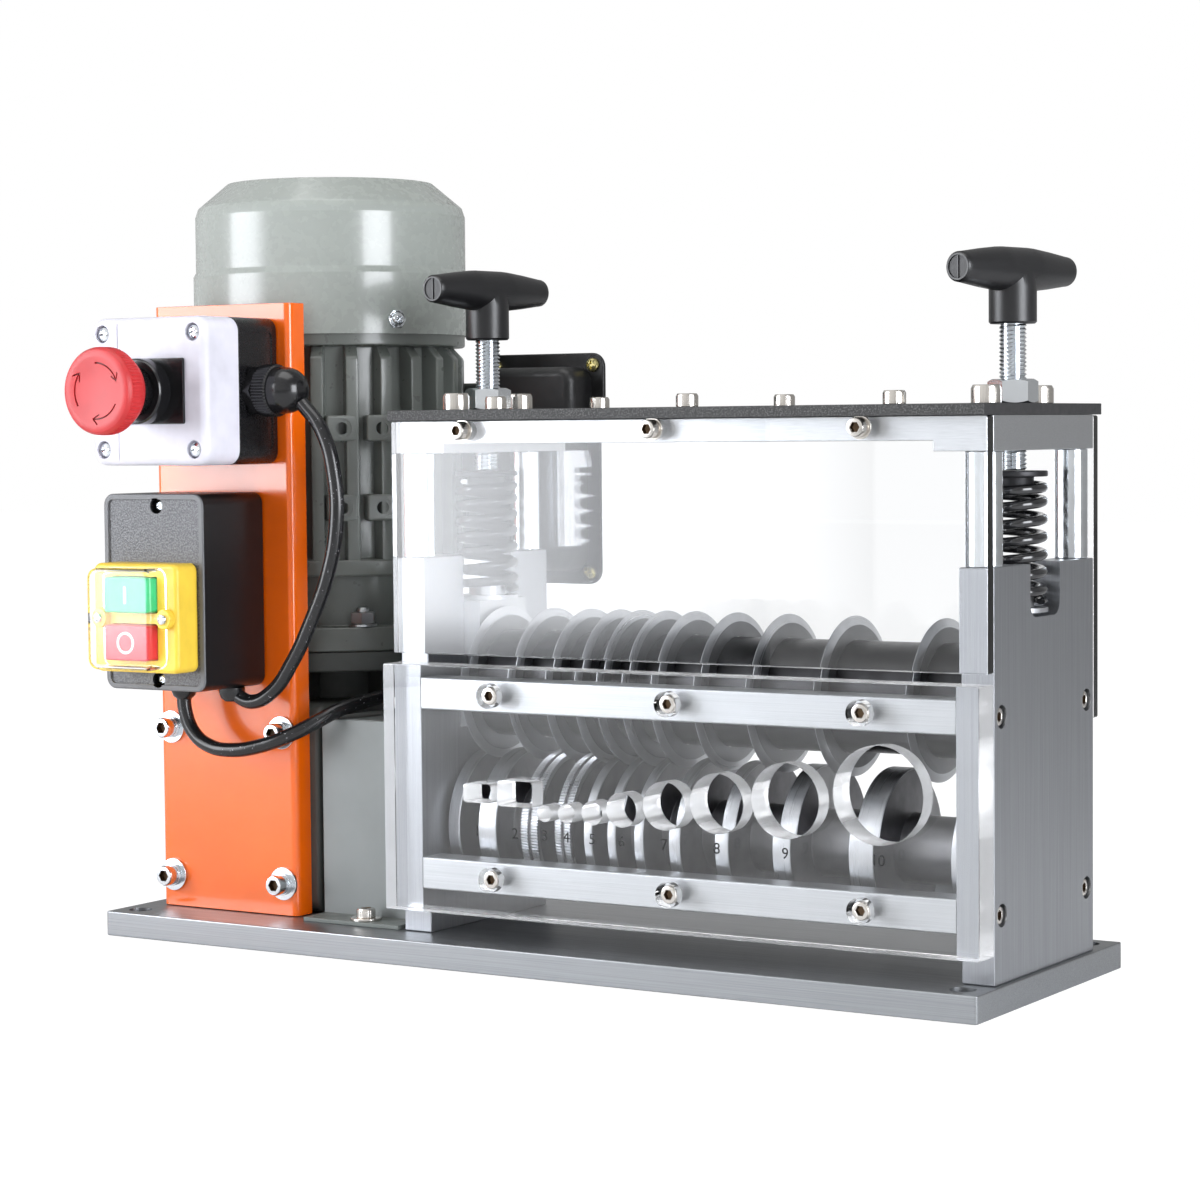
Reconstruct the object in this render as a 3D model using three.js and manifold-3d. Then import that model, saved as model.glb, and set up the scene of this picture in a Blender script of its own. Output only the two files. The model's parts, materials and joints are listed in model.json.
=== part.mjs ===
// Wire stripping machine: ten cutting discs above grooved feed rollers, driven by a geared motor.
// Millimetres. +X is the operator's right, +Y points away from the operator and +Z is up.
// The origin is the middle of the base plate's underside.
import * as THREE from "three";
import { mergeVertices, toCreasedNormals } from "three/addons/utils/BufferGeometryUtils.js";
import Module from "manifold-3d";

const wasm = await Module();
wasm.setup();

// Clearances shared by all pieces
const seam = 0.05; // between flat faces that are bolted together
const gap = 0.3; // between a turned or cut piece and the piece around it
const runningGap = 0.1; // between a journal and its bore, on the radius
const overrun = 2; // how far a cutter runs past the faces it cuts
const brokenEdge = 0.6; // chamfer on the machined plates
const sharedEdge = 1; // how deep two forms of one casting run into each other

// Base plate
const baseLength = 470;
const baseDepth = 155;
const baseThickness = 12;
const baseHoleDiameter = 11.6;
const baseHoleInset = 12;

// Head: two uprights joined by four tie bars
const headCentre = 81; // the head's middle, to the right of the base's middle
const headWidth = 303;
const headDepth = 105;
const headSetback = 23; // from the base's front edge to the uprights' front edges
const uprightThickness = 15;
const uprightHeight = 176;
const tieBarSize = 15;
const lowerTieRise = 21.8; // underside of the lower tie bars above the base plate
const upperTieRise = 105.7;
const tieScrewRecess = 10;
const tieScrewRecessDepth = 6;

// Shafts, both on the middle plane of the uprights
const feedShaftRise = 49; // feed shaft's axis above the base plate
const shaftSpacing = 66; // blade shaft's axis above the feed shaft's at rest

// Slot and guide pocket in each upright
const slotWidth = 31;
const slotDepth = 23;
const slotCorner = 6;
const pocketDepth = 8;

// Bearing block that slides in the pocket
const blockWidth = 40;
const blockInboard = 9; // stands out of the upright on the inside
const blockBelow = 20; // from the blade shaft's axis to its underside
const blockAbove = 39.5;
const springSeatThickness = 2;
const springPilotDiameter = 18;
const springPilotHeight = 5;

// Blade shaft and its discs
const bladeJournalDiameter = 15;
const thrustShoulderDiameter = 24;
const thrustShoulderLength = 2.5;
const bladeDiameter = 72;
const bladeStandout = 11; // from the drum out to a disc's rim
const bladeThickness = 3;
const bladeBevel = 4; // radial width of the ground bevel
const firstBladeOffset = 52.2; // first blade from the left face of the head
const endDiscOffset = 26.2; // fixed end disc from the left face of the head
const bladeSteps = [20.6, 16, 11.7, 13.5, 15.4, 22.1, 26.6, 33.8, 44.5]; // from each blade to the next

// Feed shaft and its wheels, each midway between two blades
const feedJournalDiameter = 18;
const feedBoreDepth = 10;
const wheelDiameter = 70;
const wheelWidths = [10, 9, 8, 4.5, 4.5, 5, 6, 7, 9, 12];
const rootDiameters = [40, 40, 46, 44, 42, 36, 30, 30, 30, 30]; // groove floor below each blade
const endWheelWidth = 6.5;
const endWheelInsets = { left: 2.2, right: 4.5 }; // from the uprights' inner faces
const toothedWheels = [1, 2]; // places in the wheel list
const toothCount = 28;
const toothDepth = 1;
const toothGroove = 2; // width and depth of the groove between two toothed rims

// Clear guide plate with the wire openings
const guideThickness = 15;
const guideBottomRise = 12.6;
const guideHeight = 114.7;
const guideHoleFloorRise = 58.5; // lowest point of every round opening above the base plate
const guideHoleDiameters = [7.7, 8.8, 10.8, 15.5, 21.6, 26.6, 32.9, 42.5];
const guideSlotWidths = [15.1, 18.9];
const guideSlotHeights = [8.7, 11.8];
const guideSlotRises = [65.1, 64.3]; // floor of each slot above the base plate
const guideSlotCorner = 1.5;

// Clear covers above and behind
const upperCoverThickness = 6;
const upperCoverRise = 131.7;
const rearCoverThickness = 5;
const rearCoverRise = 104.3;

// Top frame, top plate and the four rods that carry them
const rodDiameter = 14.8;
const rodLength = 48.5;
const headBlockWidth = 26.7;
const headBlockHeight = 15;
const topBarHeight = 10.5;
const topPlateThickness = 5;
const topPlateOverhang = 10; // past the uprights, front and rear

// Pressure screws with their nuts, caps, springs and T-handles
const screwDiameter = 12;
const screwPitch = 1.75;
const nutAcrossFlats = 19;
const nutHeight = 10.5;
const handleRise = 34.3; // underside of the handle's boss above the top plate
const handleBossDiameter = 20.7;
const handleBossHeight = 16;
const handleHeight = 32.9;
const handleLength = 78;
const handleEndDiameter = 13;
const handleMiddleDiameter = 19;
const handleSocketDepth = 12;
const leftHandleTurns = 0.5; // how much further the left screw is turned in
const handleAngles = { right: -12, left: -7 }; // degrees from the Y axis
const springDiameter = 30;
const springWire = 4.4;
const springEndPitch = 5; // closed first and last coil
const springEndCoils = 1;
const springCoils = 7.5;
const coilSteps = 8;
const wireSides = 5;
const capThickness = 2.5;
const capBossHeight = 6;
const screwEndGap = 11.5; // from the head block's underside to the top of the spring

// Geared motor: reducer, motor frame, fan and cowl
const motorOffset = 178; // motor axis to the left of the base's middle
const wormCentreDistance = 40; // motor axis behind the feed shaft's axis
const reducerWidth = 88;
const reducerHeight = 102;
const reducerFront = 34; // from the feed shaft's axis forward to the front face
const reducerBack = 46; // from the feed shaft's axis back to the rear face
const reducerCorner = 8;
const reducerEdge = 3;
const reducerBarrelDiameter = 78;
const outputBossDiameter = 62;
const outputBossHeight = 4;
const outputBoreDepth = 26;
const flangeDiameter = 140;
const flangeThickness = 10;
const flangeRise = 117; // underside of the reducer's flange above the base plate
const motorFlangeThickness = 12;
const shieldNeckDiameter = 120;
const shieldNeckHeight = 25;
const shieldRimDiameter = 135.2;
const shieldRimHeight = 8;
const finnedLength = 105;
const coreDiameter = 116;
const finDiameter = 134;
const finCount = 24;
const finWidth = 6.5;
const finChamfer = 6;
const bellDiameter = 135.2;
const bellHeight = 22;
const lugWidth = 15.5;
const lugHeight = 13;
const lugSpacing = 20.2;
const lugReach = 67.2; // from the motor's axis to the lugs' faces
const lugHoleDiameter = 5.5;
const lugHoleDepth = 5;
const lugRises = [19, 58]; // underside of each pair above the lower end of the fins
const lugBearing = -41; // degrees, first pair about the motor's axis
const lugQuarters = 4;
const armThickness = 11; // cast arm that carries the terminal box
const rotorShaftDiameter = 14;
const rotorBoreDepth = 24;
const fanDiameter = 100;
const fanHeight = 22;
const fanLift = 6; // above the motor's upper bell
const fanHubDiameter = 34;
const fanBladeCount = 7;
const fanBladeThickness = 2.5;
const cowlDiameter = 136.6;
const cowlSkirtDiameter = 139.2;
const cowlSkirtHeight = 30.4;
const cowlBeadHeight = 2.4;
const cowlShoulderHeight = 60.2;
const cowlHeight = 77.2;
const cowlTopDiameter = 104;
const cowlWall = 1.4;
const cowlLip = 5.8; // from the top of the fins to the cowl's lower edge
const grilleSlotCount = 12;
const grilleSlotWidth = 6;
const grilleInnerDiameter = 34;
const grilleOuterDiameter = 88;

// Terminal box beside the motor
const terminalWidth = 70.2;
const terminalHeight = 115.5;
const terminalPlate = 2.7;
const terminalDepth = 19.2;
const terminalRim = 7;
const terminalCorner = 7;
const terminalRise = 157.6;
const terminalRight = 41.8; // right edge, to the left of the base's middle
const terminalBack = 45.2; // rear face behind the motor's axis
const terminalEdge = 4;

// Sheet guard over the shaft between reducer and head
const guardSheet = 2;
const guardWidth = 59;
const guardEndGap = 0.5; // to the left upright
const guardFront = 36.5; // front face forward of the feed shaft's axis
const guardBack = 34;
const guardTop = 96.7;
const guardFoot = 17;
const guardFloorGap = 1.5;
const guardFootWidth = 56;

// Orange folded bracket that carries the controls
const bracketWidth = 84;
const bracketHeight = 296.7;
const bracketSheet = 2.5;
const bracketFlange = 12;
const bracketBend = 3;
const bracketFront = 46; // front face forward of the feed shaft's axis
const bracketBoltSpanX = 68.5;
const bracketBoltSpanZ = 73.6;
const bracketBoltRise = 16;
const bracketBossDiameter = 8;
const bracketOffset = 181.2; // bracket's middle to the left of the base's middle

// Emergency stop station
const stationSize = 70;
const stationRise = 254.7; // its middle above the base plate
const stationBoxDepth = 29.7;
const stationCoverDepth = 25;
const stationCorner = 6;
const stationCoverEdge = 4;
const legendWidth = 45.5;
const legendHeight = 31;
const legendThickness = 1.5;
const collarDiameter = 31;
const collarHeight = 8;
const stemDiameter = 22;
const collarSocketDepth = 9;
const mushroomDiameter = 41;
const mushroomHeight = 15;
const mushroomProud = 37; // its front, before the station's cover
const mushroomSocketDepth = 5;
const mushroomDish = 1.5;
const stopTravel = 4;
const glandNutDiameter = 25;
const glandNutLength = 13;
const glandDomeDiameter = 22;
const glandRibCount = 12;
const glandRibDepth = 0.8;
const glandDomeLift = 4; // middle of the dome beyond the nut
const glandOffset = 15.7; // gland's axis in front of the station box's back

// Switch box with two buttons under a clear cover
const switchWidth = 61;
const switchHeight = 93.8;
const switchDepth = 46.4;
const switchCorner = 5;
const switchRim = 3;
const switchRecess = 1;
const switchOffset = 186.5; // its middle to the left of the base's middle
const switchRise = 112.3;
const bezelWidth = 51.6;
const bezelHeight = 51.8;
const bezelDepth = 14;
const bezelCorner = 3;
const bezelRise = 147.6; // its middle above the base plate
const buttonWidth = 26;
const buttonHeight = 16.8;
const buttonSpacing = 22.6;
const buttonProud = 6.8;
const buttonLength = 17;
const buttonEdge = 1.5;
const buttonClearance = 0.4;
const clearWidth = 39;
const clearHeight = 48;
const clearDepth = 12.5;
const clearWall = 1.2;
const clearCorner = 5;

// Leads: diameter and hand-chosen points of each route, middle of the lead
const leadDiameter = 7;
const leadPlane = -2; // the shafts' middle plane where the routes were drawn
const leadSides = 8;
const leadStep = 8;
const stopLeadRoute = [
  [-119.7, -64.0, 260.4],
  [-108.0, -64.8, 248.0],
  [-100.6, -65.0, 226.0],
  [-100.0, -65.0, 202.0],
  [-105.0, -65.0, 180.5],
  [-115.5, -65.0, 157.5],
  [-127.5, -65.0, 137.0],
  [-139.3, -65.0, 123.2],
  [-152.0, -65.0, 117.8],
  [-162.3, -65.0, 121.1],
];
const motorLeadRoute = [
  [-193.5, -65.0, 124.0],
  [-193.0, -65.0, 112.0],
  [-187.5, -65.0, 101.0],
  [-178.0, -65.0, 95.3],
  [-166.0, -64.5, 93.8],
  [-150.0, -62.0, 96.2],
  [-135.0, -57.5, 101.8],
  [-125.5, -49.0, 107.8],
  [-119.5, -37.5, 113.2],
  [-114.5, -23.0, 116.2],
  [-110.0, -6.0, 119.0],
  [-104.5, 14.0, 122.5],
  [-98.0, 35.0, 130.0],
  [-91.0, 54.0, 141.0],
  [-86.0, 67.0, 154.0],
  [-84.2, 71.4, 165.0],
  [-84.0, 71.8, 176.2],
];

// Facets on a full circle, by how large the form shows
const fineSides = 24;
const mediumSides = 16;
const smallSides = 12;
const holeSides = 8;
const cornerSteps = 2;
const cowlSides = 32;

// Heights and planes that several pieces share
const baseTop = baseThickness;
const headLeft = headCentre - headWidth / 2;
const headRight = headCentre + headWidth / 2;
const headFront = headSetback - baseDepth / 2;
const headBack = headFront + headDepth;
const shaftY = headFront + headDepth / 2;
const feedZ = baseTop + feedShaftRise;
const bladeZ = feedZ + shaftSpacing;
const drumDiameter = bladeDiameter - 2 * bladeStandout;
const uprightTop = baseTop + uprightHeight;
const rodTop = uprightTop + rodLength;
const topPlateBottom = rodTop + headBlockHeight;
const topPlateTop = topPlateBottom + topPlateThickness;
const blockBottom = bladeZ - blockBelow;
const blockTop = bladeZ + blockAbove;
const pocketWidth = blockWidth + 2 * gap;
const springBottom = blockTop + springSeatThickness + gap;
const springTop = rodTop - screwEndGap;
const motorX = -motorOffset;
const motorY = shaftY + wormCentreDistance;
const flangeBottom = baseTop + flangeRise;
const flangeTop = flangeBottom + flangeThickness;
const finsBottom = flangeTop + motorFlangeThickness + shieldNeckHeight + shieldRimHeight;
const finsTop = finsBottom + finnedLength;
const bracketX = -bracketOffset;
const bracketY = shaftY - bracketFront;
const stationZ = baseTop + stationRise;
const stationBack = bracketY - gap;
const switchX = -switchOffset;
const switchBack = bracketY - gap;
const switchFront = switchBack - switchDepth;
const bezelZ = baseTop + bezelRise;

// Solids, joins and placing
const quarter = Math.PI / 2;
const degree = Math.PI / 180;

function solid(geometry) {
  const bare = geometry.clone();
  bare.deleteAttribute("normal");
  bare.deleteAttribute("uv");
  const merged = mergeVertices(bare);
  const corners = merged.index.array;
  const kept = [];
  for (let i = 0; i < corners.length; i += 3) {
    const [a, b, c] = corners.slice(i, i + 3);
    if (a !== b && b !== c && c !== a) kept.push(a, b, c);
  }
  return new wasm.Manifold(
    new wasm.Mesh({
      numProp: 3,
      vertProperties: new Float32Array(merged.getAttribute("position").array),
      triVerts: new Uint32Array(kept),
    }),
  );
}

function join(...forms) {
  return forms.map(asSolid).reduce((whole, form) => whole.add(form));
}

function cut(form, ...tools) {
  return tools.map(asSolid).reduce((whole, tool) => whole.subtract(tool), asSolid(form));
}

function asSolid(form) {
  return form.isBufferGeometry ? solid(form) : form;
}

function geometryOf(form) {
  if (form.isBufferGeometry) return form;
  const { numProp, vertProperties, triVerts } = form.getMesh();
  const positions = new Float32Array((vertProperties.length / numProp) * 3);
  for (let i = 0; i < positions.length / 3; i += 1) {
    positions.set(vertProperties.subarray(i * numProp, i * numProp + 3), i * 3);
  }
  const geometry = new THREE.BufferGeometry();
  geometry.setAttribute("position", new THREE.BufferAttribute(positions, 3));
  geometry.setIndex(new THREE.BufferAttribute(new Uint32Array(triVerts), 1));
  return geometry;
}

// A box from its lowest and highest corners
function block([x0, x1], [y0, y1], [z0, z1]) {
  const box = new THREE.BoxGeometry(x1 - x0, y1 - y0, z1 - z0);
  return box.translate((x0 + x1) / 2, (y0 + y1) / 2, (z0 + z1) / 2);
}

// Turns a form made along local Z so that it runs along the named axis
function alongAxis(geometry, axis) {
  const bases = {
    x: [[0, 1, 0], [0, 0, 1], [1, 0, 0]],
    y: [[1, 0, 0], [0, 0, 1], [0, -1, 0]],
    z: [[1, 0, 0], [0, 1, 0], [0, 0, 1]],
  };
  const columns = bases[axis].map((column) => new THREE.Vector3(...column));
  return geometry.applyMatrix4(new THREE.Matrix4().makeBasis(...columns));
}

// An outline swept along an axis: outlines lie in YZ for x, in XZ for y and in XY for z
function swept(outline, axis, [from, to], edge = 0, edgeSteps = 1) {
  const depth = to - from;
  const geometry = new THREE.ExtrudeGeometry(outline, {
    depth: depth - 2 * edge,
    bevelEnabled: edge > 0,
    bevelThickness: edge,
    bevelSize: edge,
    bevelOffset: -edge,
    bevelSegments: edgeSteps,
  });
  geometry.translate(0, 0, edge);
  alongAxis(geometry, axis);
  const start = { x: [from, 0, 0], y: [0, to, 0], z: [0, 0, from] };
  return geometry.translate(...start[axis]);
}

// Points of a circle, or of a regular polygon when few sides are asked for
function ring([u, v], radius, sides, turn = 0) {
  return Array.from({ length: sides }, (_, i) => {
    const angle = turn + (i / sides) * 2 * Math.PI;
    return new THREE.Vector2(u + radius * Math.cos(angle), v + radius * Math.sin(angle));
  });
}

function roundedPoints([u0, u1], [v0, v1], radius, steps = cornerSteps) {
  const corners = [
    [u1 - radius, v1 - radius, 0],
    [u0 + radius, v1 - radius, quarter],
    [u0 + radius, v0 + radius, 2 * quarter],
    [u1 - radius, v0 + radius, 3 * quarter],
  ];
  return corners.flatMap(([u, v, start]) =>
    Array.from({ length: steps + 1 }, (_, i) => {
      const angle = start + (i / steps) * quarter;
      return new THREE.Vector2(u + radius * Math.cos(angle), v + radius * Math.sin(angle));
    }),
  );
}

function shapeOf(points, ...holes) {
  const shape = new THREE.Shape(points);
  shape.holes = holes.map((hole) => new THREE.Path(hole));
  return shape;
}

// A profile of [radius, place] points turned about an axis through the centre
function turned(profile, axis, [x, y, z], sides = fineSides) {
  const points = profile.map(([radius, place]) => new THREE.Vector2(radius, place));
  const lathe = new THREE.LatheGeometry(points, sides);
  lathe.rotateX(quarter);
  alongAxis(lathe, axis);
  if (axis === "y") lathe.rotateX(2 * quarter);
  return lathe.translate(x, y, z);
}

function cylinder(diameter, axis, centre, [from, to], sides = mediumSides) {
  const radius = diameter / 2;
  return turned([[0, from], [radius, from], [radius, to], [0, to]], axis, centre, sides);
}

function sorted(a, b) {
  return [Math.min(a, b), Math.max(a, b)];
}

function about(middle, size) {
  return [middle - size / 2, middle + size / 2];
}

// Base plate with a hole in each corner
function basePlate() {
  const holeX = baseLength / 2 - baseHoleInset;
  const holeY = baseDepth / 2 - baseHoleInset;
  const holes = [-1, 1].flatMap((sideX) =>
    [-1, 1].map((sideY) => ring([sideX * holeX, sideY * holeY], baseHoleDiameter / 2, smallSides)),
  );
  const outline = roundedPoints(about(0, baseLength), about(0, baseDepth), brokenEdge, 1);
  return swept(shapeOf(outline, ...holes), "z", [0, baseThickness]);
}

// Uprights: a slot and a guide pocket for the bearing block, and a bore for the feed shaft
const innerX = { right: headRight - uprightThickness, left: headLeft + uprightThickness };
const outerX = { right: headRight, left: headLeft };
const sideSign = { right: 1, left: -1 };
const tieY = { front: headFront + tieBarSize / 2, rear: headBack - tieBarSize / 2 };
const tieZ = {
  upper: baseTop + upperTieRise + tieBarSize / 2,
  lower: baseTop + lowerTieRise + tieBarSize / 2,
};

function upright(side) {
  const sign = sideSign[side];
  const outer = outerX[side];
  const inner = innerX[side];
  const wall = sorted(outer, inner);
  const plate = swept(
    shapeOf(roundedPoints([headFront, headBack], [baseTop + seam, uprightTop], brokenEdge, 1)),
    "x",
    wall,
  );
  const slotFloor = uprightTop - slotDepth;
  const slot = swept(
    shapeOf(roundedPoints(about(shaftY, slotWidth), [slotFloor, uprightTop + slotDepth], slotCorner)),
    "x",
    [wall[0] - overrun, wall[1] + overrun],
  );
  const pocket = block(
    sorted(inner + sign * pocketDepth, inner - sign * overrun),
    about(shaftY, pocketWidth),
    [blockBottom - gap, uprightTop + overrun],
  );
  const boreDepth = side === "right" ? feedBoreDepth : uprightThickness + overrun;
  const bore = cylinder(
    feedJournalDiameter + 2 * runningGap,
    "x",
    [0, shaftY, feedZ],
    sorted(inner + sign * boreDepth, inner - sign * overrun),
    fineSides,
  );
  const recesses = Object.values(tieY).flatMap((y) =>
    Object.values(tieZ).map((z) => {
      const ends = sorted(outer - sign * tieScrewRecessDepth, outer + sign * overrun);
      return cylinder(tieScrewRecess, "x", [0, y, z], ends, smallSides);
    }),
  );
  return cut(plate, slot, pocket, bore, ...recesses);
}

function tieBar(depth, height) {
  const outline = roundedPoints(
    about(tieY[depth], tieBarSize),
    about(tieZ[height], tieBarSize),
    brokenEdge,
    1,
  );
  return swept(shapeOf(outline), "x", [innerX.left + seam, innerX.right - seam]);
}

// Guide rods stand on the uprights, at the middle of their thickness
function guideRod(side, depth) {
  const x = (innerX[side] + outerX[side]) / 2;
  return cylinder(rodDiameter, "z", [x, tieY[depth], 0], [uprightTop + seam, rodTop - seam]);
}

// Top frame: a block over each upright, joined by a bar at the front and one at the back
const screwHole = screwDiameter + 2 * gap;

function screwHoleCutter(side, [from, to]) {
  return cylinder(screwHole, "z", [innerX[side], shaftY, 0], [from - overrun, to + overrun]);
}

function topFrame() {
  const blocks = [
    [headLeft, headLeft + headBlockWidth],
    [headRight - headBlockWidth, headRight],
  ].map((span) => block(span, [headFront, headBack], [rodTop, topPlateBottom]));
  const bars = Object.values(tieY).map((y) =>
    block(
      [headLeft + sharedEdge, headRight - sharedEdge],
      about(y, tieBarSize),
      [topPlateBottom - topBarHeight, topPlateBottom],
    ),
  );
  const holes = ["right", "left"].map((side) => screwHoleCutter(side, [rodTop, topPlateBottom]));
  return cut(join(...blocks, ...bars), ...holes);
}

function topPlate() {
  const depth = [headFront - topPlateOverhang, headBack + topPlateOverhang];
  const outline = roundedPoints([headLeft, headRight], depth, brokenEdge, 1);
  const holes = ["right", "left"].map((side) =>
    ring([innerX[side], shaftY], screwHole / 2, mediumSides),
  );
  return swept(shapeOf(outline, ...holes), "z", [topPlateBottom + seam, topPlateTop]);
}

// Places of the blades along the head, from the left
const bladePlaces = bladeSteps.reduce(
  (places, step) => [...places, places.at(-1) + step],
  [headLeft + firstBladeOffset],
);
const endDiscX = headLeft + endDiscOffset;

// Clear guide plate: two flat slots for flat cable, then round openings of growing size
const guideBack = headFront - gap;

function guidePlate() {
  const bottom = baseTop + guideBottomRise;
  const outline = roundedPoints(
    [headLeft, headRight],
    [bottom, bottom + guideHeight],
    brokenEdge,
    1,
  );
  const slots = guideSlotWidths.map((width, i) => {
    const floor = baseTop + guideSlotRises[i];
    const height = [floor, floor + guideSlotHeights[i]];
    return roundedPoints(about(bladePlaces[i], width), height, guideSlotCorner, 2);
  });
  const rounds = guideHoleDiameters.map((diameter, i) => {
    const x = bladePlaces[guideSlotWidths.length + i];
    const z = baseTop + guideHoleFloorRise + diameter / 2;
    return ring([x, z], diameter / 2, diameter < tieBarSize ? mediumSides : fineSides);
  });
  const plate = shapeOf(outline, ...slots, ...rounds);
  return swept(plate, "y", [guideBack - guideThickness, guideBack]);
}

const upperCoverDepth = [guideBack - upperCoverThickness, guideBack];
const rearCoverDepth = [headBack + gap, headBack + gap + rearCoverThickness];

function clearCover(rise, depth) {
  const height = [baseTop + rise, topPlateBottom - gap];
  return swept(shapeOf(roundedPoints([headLeft, headRight], height, brokenEdge, 1)), "y", depth);
}

// Bearing block: slides in the pocket, carries the blade shaft and, on top, the spring's seat
function bearingBlock(side) {
  const sign = sideSign[side];
  const inner = innerX[side];
  const tongueEnd = inner + sign * (pocketDepth - gap);
  const inboard = inner - sign * blockInboard;
  const body = block(
    sorted(tongueEnd, inboard),
    about(shaftY, blockWidth),
    [blockBottom, blockTop],
  );
  const seatTop = blockTop + springSeatThickness;
  const axis = [inner, shaftY, 0];
  const seat = cylinder(springDiameter, "z", axis, [blockTop + seam, seatTop]);
  const pilotEnds = [blockTop - springPilotHeight, seatTop + springPilotHeight];
  const pilot = cut(
    cylinder(springPilotDiameter, "z", axis, pilotEnds),
    outsideWall(inner + sign * (pocketDepth - gap), sign, [blockTop - springPilotHeight, blockTop]),
  );
  const bore = cylinder(
    bladeJournalDiameter + 2 * runningGap,
    "x",
    [0, shaftY, bladeZ],
    sorted(tongueEnd + sign * overrun, inboard - sign * overrun),
    fineSides,
  );
  return cut(join(body, seat, pilot), bore);
}

// What lies beyond a plane across X, as wide as a spring
function outsideWall(x, sign, height) {
  return block(sorted(x, x + sign * springDiameter), about(shaftY, springDiameter), height);
}

// Pressure spring: one wire, closed at both ends, with open coils between
function springLine() {
  const wireRadius = springWire / 2;
  const bottom = springBottom + wireRadius;
  const top = springTop - gap - wireRadius;
  const openCoils = springCoils - 2 * springEndCoils;
  const openPitch = (top - bottom - 2 * springEndCoils * springEndPitch) / openCoils;
  const steps = Math.round(springCoils * coilSteps);
  const radius = (springDiameter - springWire) / 2;
  const turns = Array.from({ length: steps + 1 }, (_, i) => {
    const coil = (i / steps) * springCoils;
    const closedBelow = Math.min(coil, springEndCoils);
    const closedAbove = Math.max(coil - springEndCoils - openCoils, 0);
    const open = coil - closedBelow - closedAbove;
    const z = bottom + (closedBelow + closedAbove) * springEndPitch + open * openPitch;
    const angle = coil * 2 * Math.PI;
    return new THREE.Vector3(radius * Math.cos(angle), radius * Math.sin(angle), z);
  });
  // The wire's ends run straight for one wire diameter
  const lastAngle = springCoils * 2 * Math.PI;
  const before = turns[0].clone().add(new THREE.Vector3(0, -springWire, 0));
  const run = new THREE.Vector3(-Math.sin(lastAngle), Math.cos(lastAngle), 0);
  const after = turns.at(-1).clone().addScaledVector(run, springWire);
  return [before, ...turns, after];
}

// A tube of flat rings along the points of a line
function wireTube(points, diameter, sides) {
  const positions = [];
  const faces = [];
  const up = new THREE.Vector3(0, 0, 1);
  points.forEach((point, i) => {
    const ahead = points[Math.min(i + 1, points.length - 1)];
    const behind = points[Math.max(i - 1, 0)];
    const forward = ahead.clone().sub(behind).normalize();
    const sideways = forward.clone().cross(up).normalize();
    const upright = sideways.clone().cross(forward);
    ring([0, 0], diameter / 2, sides).forEach(({ x, y }) => {
      const offset = sideways.clone().multiplyScalar(x).addScaledVector(upright, y);
      positions.push(...offset.add(point));
    });
  });
  const last = (points.length - 1) * sides;
  for (let i = 0; i < last; i += sides) {
    for (let j = 0; j < sides; j += 1) {
      const next = (j + 1) % sides;
      faces.push(i + j, i + sides + j, i + next, i + next, i + sides + j, i + sides + next);
    }
  }
  for (let j = 1; j < sides - 1; j += 1) {
    faces.push(0, j, j + 1, last, last + j + 1, last + j);
  }
  const geometry = new THREE.BufferGeometry();
  geometry.setAttribute("position", new THREE.Float32BufferAttribute(positions, 3));
  geometry.setIndex(faces);
  return geometry;
}

function pressureSpring(side) {
  return wireTube(springLine(), springWire, wireSides).translate(innerX[side], shaftY, 0);
}

// Least distance between turns of the spring, over its wire
function springSelfGap() {
  const line = springLine();
  let least = Infinity;
  line.forEach((point, i) => {
    line.slice(i + coilSteps / 2).forEach((other) => {
      least = Math.min(least, point.distanceTo(other));
    });
  });
  return least - springWire;
}

// Cap on the spring: a flange over the last coil and a boss inside it
function springCap(side) {
  const top = springTop + capThickness;
  const innerRadius = springPilotDiameter / 2;
  return turned(
    [
      [0, springTop - capBossHeight],
      [innerRadius - brokenEdge, springTop - capBossHeight],
      [innerRadius, springTop - capBossHeight + brokenEdge],
      [innerRadius, springTop],
      [springDiameter / 2, springTop],
      [springDiameter / 2, top],
      [0, top],
    ],
    "z",
    [innerX[side], shaftY, 0],
    mediumSides,
  );
}

function screwNut(side) {
  const bottom = topPlateTop + seam;
  const flatRadius = nutAcrossFlats / Math.sqrt(3);
  const hexagon = ring([innerX[side], shaftY], flatRadius, 6, quarter);
  const hole = ring([innerX[side], shaftY], screwHole / 2, mediumSides);
  return swept(shapeOf(hexagon, hole), "z", [bottom, bottom + nutHeight]);
}

// T-handle: a tapered crossbar over a round boss with a socket for the screw
function handleBottom(side) {
  return topPlateTop + handleRise - (side === "left" ? leftHandleTurns * screwPitch : 0);
}

function tHandle(side) {
  const bottom = handleBottom(side);
  const barZ = bottom + handleHeight - handleMiddleDiameter / 2;
  const half = handleLength / 2;
  const endRadius = handleEndDiameter / 2;
  const middleRadius = handleMiddleDiameter / 2;
  const profile = [[0, -half], ...barProfile(half, endRadius, middleRadius), [0, half]];
  const bar = turned(profile, "y", [0, 0, barZ], mediumSides);
  const bossRadius = handleBossDiameter / 2;
  const boss = turned(
    [
      [0, bottom],
      [bossRadius, bottom],
      [bossRadius, bottom + handleBossHeight],
      [middleRadius, barZ],
      [0, barZ],
    ],
    "z",
    [0, 0, 0],
    mediumSides,
  );
  const socketEnds = [bottom - overrun, bottom + handleSocketDepth];
  const socket = cylinder(screwHole, "z", [0, 0, 0], socketEnds, mediumSides);
  const handle = cut(join(bar, boss), socket);
  const placed = geometryOf(handle).rotateZ(handleAngles[side] * degree);
  return placed.translate(innerX[side], shaftY, 0);
}

// Radii along half of the crossbar: thin at its ends, full over the boss
const barLengthShares = [1, 0.985, 0.55, 0.27];
const barRadiusShares = [0, 0.12, 0.68, 1];

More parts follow.
